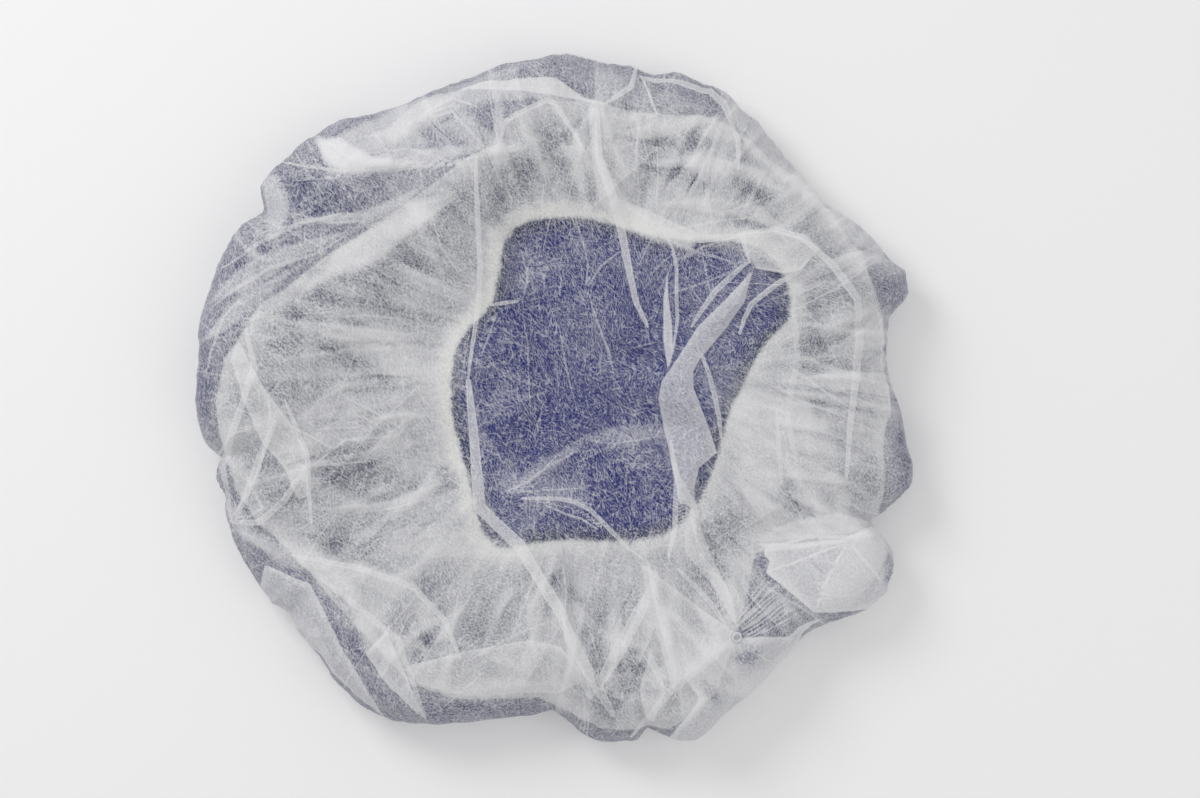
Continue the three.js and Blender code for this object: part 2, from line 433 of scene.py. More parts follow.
# Where the turned-under skirt lies smooth below the crown.
SKIRT_OUTLINE: Points = (
    (-103, 63), (-79, 78), (-53, 97), (-36, 109), (-21, 115), (-21, 124), (-3, 134), (17, 134),
    (39, 128), (66, 127), (80, 122), (100, 106), (122, 88), (138, 66), (148, 36), (151, 0), (149, -27),
    (147, -62), (111, -67), (91, -69), (88, -84), (84, -100), (74, -130), (52, -148), (22, -149),
    (6, -140), (-6, -135), (-42, -134), (-64, -128),
    (-78, -112), (-100, -88), (-114, -72), (-131, -56), (-143, -40),
    (-149, -18), (-151, 0), (-147, 18), (-137, 32), (-131, 43), (-119, 50),
)

PATCHES = (
    Patch("left rim, thin", -157, 6, 6, 24, 0, -1.2),
    Patch("upper left, thin", -104, 91, 22, 11, -12, -1.8),
    Patch("upper left rim, thin", -134, 62, 8, 16, -25, -0.7),
    Patch("top", 30, 140, 40, 8, -14, 1.2),
    Patch("rim at the right", 152, -10, 7, 56, 0, 1.2),
    Patch("bottom, thin", -37, -141, 38, 6, 4, -0.7),
    Patch("lower left, thin", -94, -97, 7, 20, 25, -3.6),
    Patch("lower middle, thin", -52, -107, 9, 6, 0, -2.5),
    Patch("beside the weld, thin", 97, -86, 13, 8, -35, -3.4),
    Patch("above the weld, thin", 76, -62, 12, 12, -35, -1.7),
    Patch("left of the strip, thin", 68, -78, 8, 12, -35, -1.8),
    Patch("right rim, thin", 157, -26, 5, 14, 0, -1.2),
    Patch("left middle, thin", -84, -34, 34, 12, -14, -1.9),
    Patch("left hem side, thin", -46, -36, 12, 6, -34, -2.4),
    Patch("left upper, thin", -88, 20, 28, 8, -32, -2.0),
    Patch("left edge, thin", -116, 38, 7, 9, 20, -2.4),
    Patch("left edge above, thin", -104, 50, 8, 4, -30, -1.4),
    Patch("left lower, thin", -96, -62, 26, 5, -4, -1.3),
    Patch("upper left inside, thin", -62, 64, 18, 5, -58, -1.7),
    Patch("upper left inside, thin below", -76, 46, 20, 3, -48, -1.0),
    Patch("upper inside, thin", -22, 88, 8, 14, 0, -1.4),
    Patch("right upper, thin", 62, 99, 26, 6, -14, -2.2),
    Patch("right upper, thin above", 62, 115, 24, 4, -2, -2.3),
    Patch("right upper, thin below", 84, 82, 16, 5, -26, -2.3),
    Patch("right upper, thin middle", 92, 94, 16, 5, -34, -2.0),
    Patch("top inside, thin", -2, 116, 12, 10, 0, -1.2),
    Patch("top middle inside, thin", -14, 104, 12, 6, 20, -1.6),
    Patch("bottom right, thin", 34, -120, 9, 12, -10, -2.4),
    Patch("bottom middle, thin", 2, -84, 16, 8, -30, -1.9),
    Patch("bottom far, thin", 26, -137, 7, 9, 0, -2.6),
    Patch("bottom flap, thin", 86, -114, 9, 4, 25, -2.4),
    Patch("bottom flap, thin below", 70, -130, 5, 9, 35, -2.2),
    Patch("right flap, thin end", 153, -77, 5, 12, 16, -2.6),
    Patch("right, thin", 118, 18, 8, 34, 4, -2.2),
    Patch("right lower, thin", 107, -44, 6, 14, 20, -1.7),
    Patch("right rim inside, thin", 144, -32, 5, 14, 0, -2.2),
    Patch("diagonal, thick", -78, 72, 46, 8, 34, 4.8),
    Patch("upper skirt, thick", -58, 84, 26, 7, 34, 2.2),
    Patch("left, thick", -66, 14, 34, 9, -20, 2.5),
    Patch("lower left, thick", -50, -64, 50, 9, -4, 2.0),
    Patch("weld, thick", 60, -118, 18, 12, 35, 3.0),
    Patch("right, thick", 92, -38, 12, 20, 14, 2.0),
)

CREASES = (
    Crease(((10, 83), (14, 70), (16, 61), (15, 51))),
    Crease(((31, 67), (22, 60), (16, 51)), 0.9),
    Crease(((16, 49), (20, 36), (25, 22), (28, 10)), 0.9),
    Crease(((-14, 68), (-11, 56), (-13, 45)), 0.9),
    Crease(((-29, 42), (-14, 44)), 1.7, 5.0),
    Crease(((-25, 39), (-32, 19)), 0.8),
    Crease(((-13, 39), (-11, 15), (-10, -8)), 0.7, 2.0),
    Crease(((3, 32), (7, 10), (11, -5)), 0.7, 2.0),
    Crease(((4, 56), (3, 46)), 0.7, 2.0),
    Crease(((52, 72), (66, 66), (82, 61)), 1.2, 3.0),
    Crease(((50, 74), (66, 62), (76, 58)), 0.7, 2.0),
    Crease(((56, 68), (62, 50), (70, 40)), 0.6, 1.6),
    Crease(((34, 22), (47, 26)), 0.7, 2.0),
    Crease(((-127, 1), (-126, -12), (-133, -36), (-144, -54)), 1.5, 3.5),
    Crease(((-153, -28), (-143, -15), (-135, -13)), 1.3, 3.5),
    Crease(((-138, -33), (-130, -49), (-140, -55)), 1.2, 3.5),
    Crease(((-79, -19), (-93, -18), (-108, -30)), 1.0, 3.0),
    Crease(((-109, -30), (-84, -28)), 1.0, 3.0),
    Crease(((-84, -28), (-86, -18), (-69, -2), (-58, 8)), 0.8, 2.4),
    Crease(((-86, -18), (-83, -32), (-88, -50), (-80, -62)), 0.8, 2.0),
    Crease(((-126, 108), (-93, 101), (-60, 104), (-39, 105)), 1.6, 4.0),
    Crease(((-118, 84), (-100, 79), (-84, 80)), 1.0),
    Crease(((-150, 58), (-136, 66), (-116, 78), (-92, 84)), 1.4, 3.0),
    Crease(((-156, 40), (-128, 58), (-104, 66), (-92, 74)), 1.4, 3.0),
    Crease(((-131, 83), (-129, 72), (-138, 80)), 1.2),
    Crease(((-157, 10), (-148, 36), (-140, 44)), 1.2, 3.0),
    Crease(((-60, 123), (-44, 128), (-30, 112), (-15, 108)), 1.0, 3.0),
    Crease(((-92, 108), (-64, 112), (-44, 106), (-10, 113)), 1.0, 3.0),
    Crease(((-69, 119), (-44, 133), (-33, 130), (-30, 126)), 1.0, 3.0),
    Crease(((117, -94), (126, -76), (132, -65)), 1.1, 7.0),
    Crease(((96, -78), (112, -72), (132, -65)), 1.1, 7.0),
    Crease(((134, -66), (142, -76), (148, -82)), 1.4, 7.0),
    Crease(((100, -66), (116, -62), (134, -62), (144, -60)), 1.4, 7.0),
    Crease(((-24, -43), (-12, -38), (-4, -32), (2, -25)), 0.9, 2.4),
    Crease(((-24, -43), (0, -41), (14, -40)), 0.7, 2.0),
    Crease(((10, -29), (30, -20), (47, -17)), 0.8, 2.0),
    Crease(((-8, -34), (10, -24), (26, -22)), 0.7, 1.8),
)

# Soft heaps of web within the mouth, where the crown sags into it.
SAGS = (
    Patch("lower curve", -2, -30, 22, 4, 34, 1.6),
    Patch("lower curve, right", 32, -16, 24, 5, 6, 1.6),
    Patch("below the curve", -4, -40, 34, 9, -8, 1.0),
    Patch("lower right of the mouth", 32, -46, 18, 15, -40, -0.9),
    Patch("left of the mouth", -22, 14, 8, 30, -4, 0.35),
    Patch("upper mouth", -8, 58, 20, 10, 0, 0.25),
    Patch("right of the centre", 42, 60, 10, 16, 8, 0.5),
    Patch("middle, deep", 8, 10, 30, 22, 0, -0.15),
    Patch("left middle of the mouth", -12, -14, 18, 16, 0, -0.6),
    Patch("middle of the left hem", -42, 22, 6, 22, 0, 0.5),
    Patch("lower left of the mouth", -30, -52, 12, 8, -40, 0.6),
)


@dataclass(frozen=True)
class WeldFan:
    """The fine pleats that run together at the weld, as rays from a point behind it."""

    behind: float = 20.0  # how far behind the weld the rays meet, in millimetres
    heading: float = 39.0  # of the middle ray, in degrees
    degrees: Span = (26.0, 52.0)  # of the first ray and of the last
    reach: float = 56.0  # of the pleats, from where the rays meet
    pleats: int = 8

    def meeting_point(self, weld: np.ndarray) -> np.ndarray:
        """Where the rays meet."""
        turn = math.radians(self.heading)
        return weld - self.behind * np.array([math.cos(turn), math.sin(turn)])


# ------------------------------------------------------------------ plane geometry


def rounded_step(low: float, high: float, value: np.ndarray) -> np.ndarray:
    """A smooth step from 0 at low to 1 at high."""
    share = np.clip((value - low) / (high - low), 0.0, 1.0)
    return share * share * (3.0 - 2.0 * share)


def triangle_wave(phase: np.ndarray) -> np.ndarray:
    """A wave of straight slopes between -1 and 1, with a period of 1."""
    return 1.0 - 4.0 * np.abs((phase % 1.0) - 0.5)


@dataclass(frozen=True)
class RouteReading:
    """Where places lie from a line: how far off, how far to its left, and how far along it."""

    gap: np.ndarray
    side: np.ndarray
    along: np.ndarray


def read_route(route: Points, x: np.ndarray, y: np.ndarray) -> RouteReading:
    """Reads places off a line.

    Args:
        route: The line's corners.
        x: The places' first coordinates.
        y: The places' second coordinates.

    Returns:
        The reading. Its shares of the line's length stop at 0 and 1.
    """
    corners = np.asarray(route, float)
    spans = np.linalg.norm(np.diff(corners, axis=0), axis=1)
    before = np.concatenate([[0.0], np.cumsum(spans)])
    gap = np.full(x.shape, np.inf)
    side, along = np.zeros(x.shape), np.zeros(x.shape)
    for start, end, span, walked in zip(corners[:-1], corners[1:], spans, before):
        step = end - start
        from_x, from_y = x - start[0], y - start[1]
        share = np.clip((from_x * step[0] + from_y * step[1]) / span**2, 0.0, 1.0)
        here = np.hypot(from_x - share * step[0], from_y - share * step[1])
        left = np.where(step[0] * from_y - step[1] * from_x > 0, here, -here)
        closer = here < gap
        gap = np.where(closer, here, gap)
        side = np.where(closer, left, side)
        along = np.where(closer, (walked + share * span) / before[-1], along)
    return RouteReading(gap, side, along)


def outline_depth(outline: Points, x: np.ndarray, y: np.ndarray) -> np.ndarray:
    """How deep places lie inside a closed outline, negative outside it.

    Args:
        outline: The outline's corners.
        x: The places' first coordinates.
        y: The places' second coordinates.

    Returns:
        The depths, in millimetres.
    """
    gap = read_route((*outline, outline[0]), x, y).gap
    inside = np.zeros(x.shape, bool)
    for (x0, y0), (x1, y1) in zip(outline, (*outline[1:], outline[0])):
        if y0 == y1:
            continue
        inside ^= ((y0 > y) != (y1 > y)) & (x < (x1 - x0) * (y - y0) / (y1 - y0) + x0)
    return np.where(inside, gap, -gap)


def end_taper(along: np.ndarray, power: float = 0.5) -> np.ndarray:
    """A line's share of its full width: none at its two ends, all in its middle."""
    return np.sin(math.pi * np.clip(along, 0.0, 1.0)) ** power


class SmoothNoise:
    """A smooth random height over the plane, between -1 and 1, the same on each run."""

    CELLS = 128

    def __init__(self, seed: int) -> None:
        """Draws the heights of the lattice from that seed."""
        self.heights = np.random.default_rng(seed).uniform(-1.0, 1.0, (self.CELLS, self.CELLS))

    def at(self, x: np.ndarray, y: np.ndarray) -> np.ndarray:
        """The height at places that are given in cells of the lattice.

        Args:
            x: The places' first coordinates.
            y: The places' second coordinates.

        Returns:
            The heights.
        """
        column, row = np.floor(x).astype(int), np.floor(y).astype(int)
        across, up = x - column, y - row
        across, up = across * across * (3 - 2 * across), up * up * (3 - 2 * up)
        near_column, far_column = column % self.CELLS, (column + 1) % self.CELLS
        near_row, far_row = row % self.CELLS, (row + 1) % self.CELLS
        near = self.heights[near_column, near_row] * (1 - up) + self.heights[near_column, far_row] * up
        far = self.heights[far_column, near_row] * (1 - up) + self.heights[far_column, far_row] * up
        return near * (1 - across) + far * across


# ------------------------------------------------------------------ the form that the frame holds


class CapForm:
    """The cap's outer face as the frame holds it, by direction and by share of the way to the hem."""

    DIRECTIONS = 360
    CROWN_STATIONS = 40
    RIM_STATIONS = 24
    SKIRT_STATIONS = 24
    STATIONS = 220
    CROWN_SHARE = 0.9  # of the rim's reach: the crown is seen from above up to here
    SMOOTHINGS = 3
    RIM_EASE = 1.2  # how far the slack web stands out beyond the frame's rim, in millimetres
    RIM_HEIGHTS = (10.0, 13.0, 16.0, 19.0)  # at which the rim reaches farthest out, in millimetres
    CORE_HEIGHT = 12.0  # of the circle that the rim is read towards
    RAY_START = 300.0  # well outside the cap
    RIM_RAY = 60.0  # how far beyond that circle it is read from
    POLE_REACH = 0.05  # of the first station, so that its ray meets a face
    WIDEST = 2.2  # the casing's height over the height at which it is widest
    DRAWN_FROM = 0.72  # of the rim's reach: only what lies beyond is drawn out
    HEM_GAP = 0.4  # from the skirt's last station to the hem
    HEM_END_HEIGHT = 2.4  # of that station

    def __init__(self, body: bpy.types.Object, hem: bpy.types.Object) -> None:
        """Reads the form from the frame's body and hem.

        Args:
            body: The frame's body.
            hem: The frame's hem casing.
        """
        self.body = self._tree(body)
        self.hem = self._tree(hem)
        low, high = (np.array(corner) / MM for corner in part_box(hem.name))
        self.mouth_centre = ((low + high) / 2)[:2]
        self.hem_height = high[2]
        self.angles = np.arange(self.DIRECTIONS) * 2 * math.pi / self.DIRECTIONS
        self.mouth_reach = self._hem_reach(from_inside=True)
        self.hem_reach = self._hem_reach(from_inside=False)
        profiles = self._profiles()
        self.places = self._even_stations(profiles)
        self._draw_rim_out(np.hypot(profiles[..., 0], profiles[..., 1]).max(1))
        self.rim_share = self._rim_share()

    @staticmethod
    def _tree(piece: bpy.types.Object) -> BVHTree:
        """A search tree of a piece's faces, in metres."""
        mesh = piece.data
        return BVHTree.FromPolygons([v.co for v in mesh.vertices], [tuple(p.vertices) for p in mesh.polygons])

    @staticmethod
    def _hit(tree: BVHTree, origin: Place, towards: Place) -> np.ndarray:
        """Where a ray meets a piece first.

        Args:
            tree: The faces to meet.
            origin: The ray's start, in millimetres.
            towards: The ray's direction.

        Returns:
            The place, in millimetres.

        Raises:
            ValueError: If the ray meets nothing.
        """
        place, _, _, _ = tree.ray_cast(Vector(origin) * MM, Vector(towards))
        if place is None:
            raise ValueError(f"nothing of the cap lies on the ray from {origin} towards {towards}")
        return np.array(place) / MM

    def _hem_reach(self, from_inside: bool) -> np.ndarray:
        """How far the hem's inner or outer side reaches from the mouth's centre, by direction.

        Args:
            from_inside: Whether it is the inner side.

        Returns:
            The reach in each direction, in millimetres.
        """
        reaches = []
        middle = self.hem_height / self.WIDEST
        for angle in self.angles:
            x, y = math.cos(angle), math.sin(angle)
            start = 0.0 if from_inside else self.RAY_START
            sign = 1.0 if from_inside else -1.0
            origin = (self.mouth_centre[0] + start * x, self.mouth_centre[1] + start * y, middle)
            place = self._hit(self.hem, origin, (sign * x, sign * y, 0.0))
            reaches.append(np.hypot(*(place[:2] - self.mouth_centre)))
        return np.array(reaches)

    def _profiles(self) -> np.ndarray:
        """Reads the outer face from the pole to the hem.

        Returns:
            The stations by direction, in millimetres.
        """
        rows = []
        far = self.RAY_START
        for angle, hem_reach in zip(self.angles, self.hem_reach):
            x, y = math.cos(angle), math.sin(angle)
            rim = max(
                np.hypot(*self._hit(self.body, (far * x, far * y, height), (-x, -y, 0.0))[:2])
                for height in self.RIM_HEIGHTS
            )
            row = []
            for share in np.linspace(0.0, self.CROWN_SHARE, self.CROWN_STATIONS):
                reach = max(share * rim, self.POLE_REACH)
                row.append(self._hit(self.body, (reach * x, reach * y, far), (0.0, 0.0, -1.0)))
            core = self.CROWN_SHARE * rim
            for turn in np.linspace(math.pi / 2, -math.pi / 2, self.RIM_STATIONS)[1:]:
                out, up = math.cos(turn), math.sin(turn)
                across = core + self.RIM_RAY * out
                origin = (across * x, across * y, self.CORE_HEIGHT + self.RIM_RAY * up)
                row.append(self._hit(self.body, origin, (-out * x, -out * y, -up)))
            start = row[-1]
            end_place = self.mouth_centre + (hem_reach + self.HEM_GAP) * np.array([x, y])
            end = np.array([*end_place, self.HEM_END_HEIGHT])
            shares = np.linspace(0.0, 1.0, self.SKIRT_STATIONS)[1:]
            row.extend(start + (end - start) * share for share in shares)
            rows.append(row)
        return np.array(rows)

    def _even_stations(self, rows: np.ndarray) -> np.ndarray:
        """Spreads the stations evenly along each row, and smooths them.

        Args:
            rows: The stations as they were read, by direction.

        Returns:
            As many stations in each row, evenly apart.
        """
        shares = np.linspace(0.0, 1.0, self.STATIONS)
        even = np.empty((len(rows), self.STATIONS, 3))
        for index, row in enumerate(rows):
            walked = np.concatenate([[0.0], np.cumsum(np.linalg.norm(np.diff(row, axis=0), axis=1))])
            for axis in range(3):
                even[index, :, axis] = np.interp(shares, walked / walked[-1], row[:, axis])
        for _ in range(self.SMOOTHINGS):
            even = (np.roll(even, 1, 0) + 2 * even + np.roll(even, -1, 0)) / 4
            even[:, 1:-1] = (even[:, :-2] + 2 * even[:, 1:-1] + even[:, 2:]) / 4
        even[:, 0] = even[:, 0].mean(0)
        return even

    def _draw_rim_out(self, reach: np.ndarray) -> None:
        """Draws the smoothed rim back out to its true reach by direction, with its small notches.

        Args:
            reach: How far the rim reaches in each direction, in millimetres.
        """
        degrees = np.degrees(self.angles)
        target = reach + self.RIM_EASE
        for notch in NOTCHES:
            turn = np.abs((degrees - notch.degrees + 180.0) % 360.0 - 180.0)
            target = target - notch.depth * np.clip(1 - turn / notch.width, 0, 1)
        here = np.hypot(self.places[..., 0], self.places[..., 1])
        most = here.max(1, keepdims=True)
        scale = 1 + (target[:, None] / most - 1) * rounded_step(self.DRAWN_FROM, 1.0, here / most)
        self.places[..., :2] *= scale[..., None]

    def _rim_share(self) -> np.ndarray:
        """The share of the way at which each row reaches farthest out."""
        reach = np.hypot(self.places[..., 0], self.places[..., 1])
        return reach.argmax(1) / (self.STATIONS - 1)

    def _mix(self, table: np.ndarray, angle: np.ndarray, share: np.ndarray) -> np.ndarray:
        """Values of a table between its directions and stations.

        Args:
            table: The values by direction and station.
            angle: The directions of the points of the cut.
            share: Their shares of the way from the pole to the hem.

        Returns:
            The values at those points.
        """
        row = (angle / (2 * math.pi)) % 1.0 * self.DIRECTIONS
        near = np.floor(row).astype(int) % self.DIRECTIONS
        far = (near + 1) % self.DIRECTIONS
        row_share = (row - np.floor(row))[:, None]
        station = np.clip(share, 0.0, 1.0) * (self.STATIONS - 1)
        first = np.minimum(np.floor(station).astype(int), self.STATIONS - 2)
        station_share = (station - first)[:, None]
        here = table[near, first] * (1 - station_share) + table[near, first + 1] * station_share
        there = table[far, first] * (1 - station_share) + table[far, first + 1] * station_share
        return here * (1 - row_share) + there * row_share

    def place(self, angle: np.ndarray, share: np.ndarray) -> np.ndarray:
        """Where points of the cut lie: a direction, and a share of the way from the pole to the hem."""
        return self._mix(self.places, angle, share)

    def normal(self, angle: np.ndarray, share: np.ndarray) -> np.ndarray:
        """The outer face's normals at points of the cut.

        Args:
            angle: The directions of the points of the cut.
            share: Their shares of the way from the pole to the hem.

        Returns:
            The normals, of about unit length.
        """
        around = np.roll(self.places, -1, 0) - np.roll(self.places, 1, 0)
        along = np.gradient(self.places, axis=1)
        normals = np.cross(along, around)
        normals[:, :3] = (0.0, 0.0, 1.0)
        normals /= np.linalg.norm(normals, axis=2, keepdims=True)
        return self._mix(normals, angle, share)

    def by_direction(self, values: np.ndarray, angle: np.ndarray) -> np.ndarray:
        """Values that are given by direction, between the directions."""
        row = (angle / (2 * math.pi)) % 1.0 * self.DIRECTIONS
        return np.interp(row, np.arange(self.DIRECTIONS + 1), np.append(values, values[0]))

    def outside_mouth(self, x: np.ndarray, y: np.ndarray) -> np.ndarray:
        """How far places lie outside the mouth's edge, negative within it.

        Args:
            x: The places' first coordinates.
            y: The places' second coordinates.

        Returns:
            The distances, in millimetres.
        """
        across, up = x - self.mouth_centre[0], y - self.mouth_centre[1]
        angle = np.arctan2(up, across)
        reach = self.by_direction(self.mouth_reach, angle)
        ring = np.append(self.mouth_reach, self.mouth_reach[0])
        slope = np.gradient(ring)[:-1] * self.DIRECTIONS / (2 * math.pi)
        lean = np.arctan(self.by_direction(slope, angle) / reach)
        return (np.hypot(across, up) - reach) * np.cos(lean)


# ------------------------------------------------------------------ folds and layers


class LineBand:
    """The nearest line of a kind at each place, as three values that a material can draw it from."""

    FAR = 3.5  # beyond this gap a line isn't drawn, in millimetres
    BESIDE = 9.0  # the side where there is no line
    NOT_DRAWN = -3.0  # the half width where there is no line
    ENDED = -1.0  # the half width past a line's ends

    def __init__(self, size: int) -> None:
        """Starts with no line anywhere.

        Args:
            size: How many places there are.
        """
        self.gap = np.full(size, np.inf)
        self.side = np.full(size, self.BESIDE)
        self.half = np.full(size, self.NOT_DRAWN)
        self.plies = np.zeros(size)

    def add(self, reading: RouteReading, half: np.ndarray, plies: float) -> None:
        """Adds a line, which takes the places that it is nearest to.

        Args:
            reading: Where the places lie from the line.
            half: Half the line's width at each place, negative where it isn't drawn.
            plies: The layers that lie over each other in the line.
        """
        ended = (reading.along <= 0.0) | (reading.along >= 1.0)
        half = np.where(ended, self.ENDED, half)
        half = np.where(reading.gap > self.FAR, self.NOT_DRAWN, half)
        room = reading.gap - np.maximum(half, 0.0)
        closer = room < self.gap
        self.gap = np.where(closer, room, self.gap)
        self.side = np.where(closer, reading.side, self.side)
        self.half = np.where(closer, half, self.half)
        self.plies = np.where(closer, plies, self.plies)


@dataclass
class WebLie:
    """What the folds do at places of the cap, all in millimetres or in layers of web."""

    rise: np.ndarray
    plies: np.ndarray
    fold_edge: np.ndarray
    fold_plies: np.ndarray
    tucks: LineBand
    creases: LineBand
    skirt_edge: np.ndarray
    mouth_edge: np.ndarray

    def readings(self) -> dict[str, np.ndarray]:
        """What the web's material reads.

        Returns:
            The values at each place, by the attribute's name.
        """
        return {
            "plies": self.plies,
            "fold_edge": self.fold_edge,
            "fold_plies": self.fold_plies,
            "skirt_edge": self.skirt_edge,
            "mouth_edge": self.mouth_edge,
            "tuck_side": self.tucks.side,
            "tuck_half": self.tucks.half,
            "tuck_plies": self.tucks.plies,
            "crease_side": self.creases.side,
            "crease_half": self.creases.half,
            "crease_plies": self.creases.plies,
        }


@dataclass
class FoldField:
    """The folds, creases and layers of the crown, by place."""

    form: CapForm
    seed: int = 7
    small_creases: ChanceFolds = ChanceFolds(220, (12, 46), 0.5, 0.14, (0.3, 0.9), (0.8, 3.0))
    # The gaps between the skirt's pleats take layers away, so they show as thin dark lines of painted shade.
    shaded_pleat_gaps: ChanceFolds = ChanceFolds(32, (12, 34), 0.22, 0.1, (0.6, 1.3), (1.0, 2.4))
    skirt_veils: ChanceFolds = ChanceFolds(120, (26, 74), 0.2, 0.2, (3, 12), (1.0, 3.6))
    rim_veils: ChanceFolds = ChanceFolds(80, (24, 80), 0.45, 0.25, (3, 12), (0.6, 2.2))
    crown_veils: ChanceFolds = ChanceFolds(34, (50, 110), 0.0, 0.2, (5, 16), (0.2, 0.65))
    cap_reach: float = 160.0  # of the creases, from the cap's middle
    crease_rise: Span = (0.2, 0.7)
    gap_place: Span = (10, 52)  # of the middle of a pleat's gap, outwards from the hem
    tuck_ends: float = 0.25  # a tuck's share of its full width and rise at its two ends
    tuck_slope: float = 1.6  # what a tuck's rise reaches from its line, besides 1.1 of its width
    crease_slope: float = 3.2  # what a crease's rise reaches from its line
    no_flap: float = -20.0  # the depth where no flap is near
    thin_folds: float = 0.7  # the share of a flap's layers that a thin patch takes away
    least_plies: float = 0.4  # below the crown, outside the mouth
    plain_plies: float = 1.5  # below the crown, where the skirt doesn't reach
    skirt_plies: float = 1.3  # what the skirt adds, and hem_plies what it adds towards the hem
    hem_plies: float = 2.6
    gather_plies: float = 1.2
    fine_gather_plies: float = 0.9
    veil_rise: float = 0.25  # for each layer
    veil_start: Span = (-2, 22)  # of a skirt veil, outwards from the hem
    rim_reach: Span = (112, 156)  # of a rim veil's middle, from the cap's
    crown_reach: float = 95.0
    facet_rows: tuple[tuple[float, float, float], ...] = (
        (46.0, 12.0, 1.3), (34.0, 71.0, 1.0), (58.0, 128.0, 1.5), (27.0, 155.0, 0.7), (21.0, 40.0, 0.5),
    )
    warp: SmoothNoise = field(init=False)
    calm: SmoothNoise = field(init=False)
    cloud: SmoothNoise = field(init=False)

    def __post_init__(self) -> None:
        """Makes the noises that the field bends and fades its rows with."""
        self.warp = SmoothNoise(self.seed)
        self.calm = SmoothNoise(self.seed + 1)
        self.cloud = SmoothNoise(self.seed + 2)

    def facets(self, x: np.ndarray, y: np.ndarray) -> np.ndarray:
        """The crumple of the web: straight-sided facets that come and go.

        Args:
            x: The places' first coordinates.
            y: The places' second coordinates.

        Returns:
            The height of the crumple, in millimetres.
        """
        total = np.zeros(x.shape)
        for row, (length, degrees, height) in enumerate(self.facet_rows):
            heading = math.radians(degrees)
            shift = 0.22 * self.warp.at(x / 40 + 17 * row, y / 40)
            phase = (x * math.cos(heading) + y * math.sin(heading)) / length + shift
            calm = rounded_step(-0.5, 0.5, self.calm.at(x / 55 + 31 * row, y / 55 + 5))
            total += height * calm * triangle_wave(phase)
        return total

    @staticmethod
    def bent_route(middle: np.ndarray, heading: float, length: float, bend: float) -> Points:
        """A line of three points through its middle, with a slight bend there.

        Args:
            middle: The line's middle.
            heading: Its direction, in radians.
            length: Its length, in millimetres.
            bend: How far it turns in its middle, in radians.

        Returns:
            The line.
        """
        back = middle - length / 2 * np.array([math.cos(heading), math.sin(heading)])
        ahead = middle + length / 2 * np.array([math.cos(heading + bend), math.sin(heading + bend)])
        return tuple((float(point[0]), float(point[1])) for point in (back, middle, ahead))

    def from_hem(self, angle: float, distance: float) -> np.ndarray:
        """A place at a distance outwards from the hem, in a direction from the mouth's centre."""
        inner = self.form.by_direction(self.form.hem_reach, np.array([angle]))[0]
        return self.form.mouth_centre + (inner + distance) * np.array([math.cos(angle), math.sin(angle)])

    def drawn_creases(self) -> list[Crease]:
        """Creases that run mostly outwards, and the thin gaps between the skirt's pleats, drawn as dark lines
        of painted shade where fewer layers lie.

        Returns:
            The creases, the same on each run.
        """
        draw = np.random.default_rng(self.seed)
        creases = []
        kind = self.small_creases
        for _ in range(kind.count):
            angle = draw.uniform(0, 2 * math.pi)
            reach = self.cap_reach * draw.uniform(0.3, 1.0) ** 0.6
            middle = reach * np.array([math.cos(angle), math.sin(angle)])
            heading = angle + draw.normal(0, kind.sway)
            route = self.bent_route(middle, heading, draw.uniform(*kind.length), draw.normal(0, kind.bend))
            width, plies = draw.uniform(*kind.width), draw.uniform(*kind.plies)
            creases.append(Crease(route, width, plies, draw.uniform(*self.crease_rise)))
        kind = self.shaded_pleat_gaps
        for _ in range(kind.count):
            angle = draw.uniform(0, 2 * math.pi)
            middle = self.from_hem(angle, draw.uniform(*self.gap_place))
            heading = angle + draw.normal(0, kind.sway)
            route = self.bent_route(middle, heading, draw.uniform(*kind.length), draw.normal(0, kind.bend))
            # Fewer layers: a thin dark line of painted shade between two pleats.
            creases.append(Crease(route, draw.uniform(*kind.width), -draw.uniform(*kind.plies), 0.0))
        return creases

    def drawn_veils(self) -> list[Veil]:
        """The many loose folds: outwards from the hem, along the rim, and a few across the crown.

        Returns:
            The veils, the same on each run.
        """
        draw = np.random.default_rng(self.seed + 5)
        veils = []
        kind = self.skirt_veils
        for _ in range(kind.count):
            angle, length = draw.uniform(0, 2 * math.pi), draw.uniform(*kind.length)
            middle = self.from_hem(angle, draw.uniform(*self.veil_start) + length / 2)
            heading = angle + draw.normal(0, kind.sway) + (math.pi if draw.uniform() < 0.5 else 0.0)
            route = self.bent_route(middle, heading, length, draw.normal(0, kind.bend))
            veils.append(Veil(route, draw.uniform(*kind.width), draw.uniform(*kind.plies)))
        kind = self.rim_veils
        for _ in range(kind.count):
            angle = draw.uniform(0, 2 * math.pi)
            middle = draw.uniform(*self.rim_reach) * np.array([math.cos(angle), math.sin(angle)])
            turned = angle + math.pi / 2 + draw.normal(0, kind.sway)
            heading = turned + (math.pi if draw.uniform() < 0.5 else 0.0)
            route = self.bent_route(middle, heading, draw.uniform(*kind.length), draw.normal(0, kind.bend))
            veils.append(Veil(route, draw.uniform(*kind.width), draw.uniform(*kind.plies)))
        kind = self.crown_veils
        for _ in range(kind.count):
            middle = draw.uniform(-self.crown_reach, self.crown_reach, 2)
            heading = draw.uniform(0, 2 * math.pi)
            route = self.bent_route(middle, heading, draw.uniform(*kind.length), draw.normal(0, kind.bend))
            veils.append(Veil(route, draw.uniform(*kind.width), draw.uniform(*kind.plies)))
        return veils

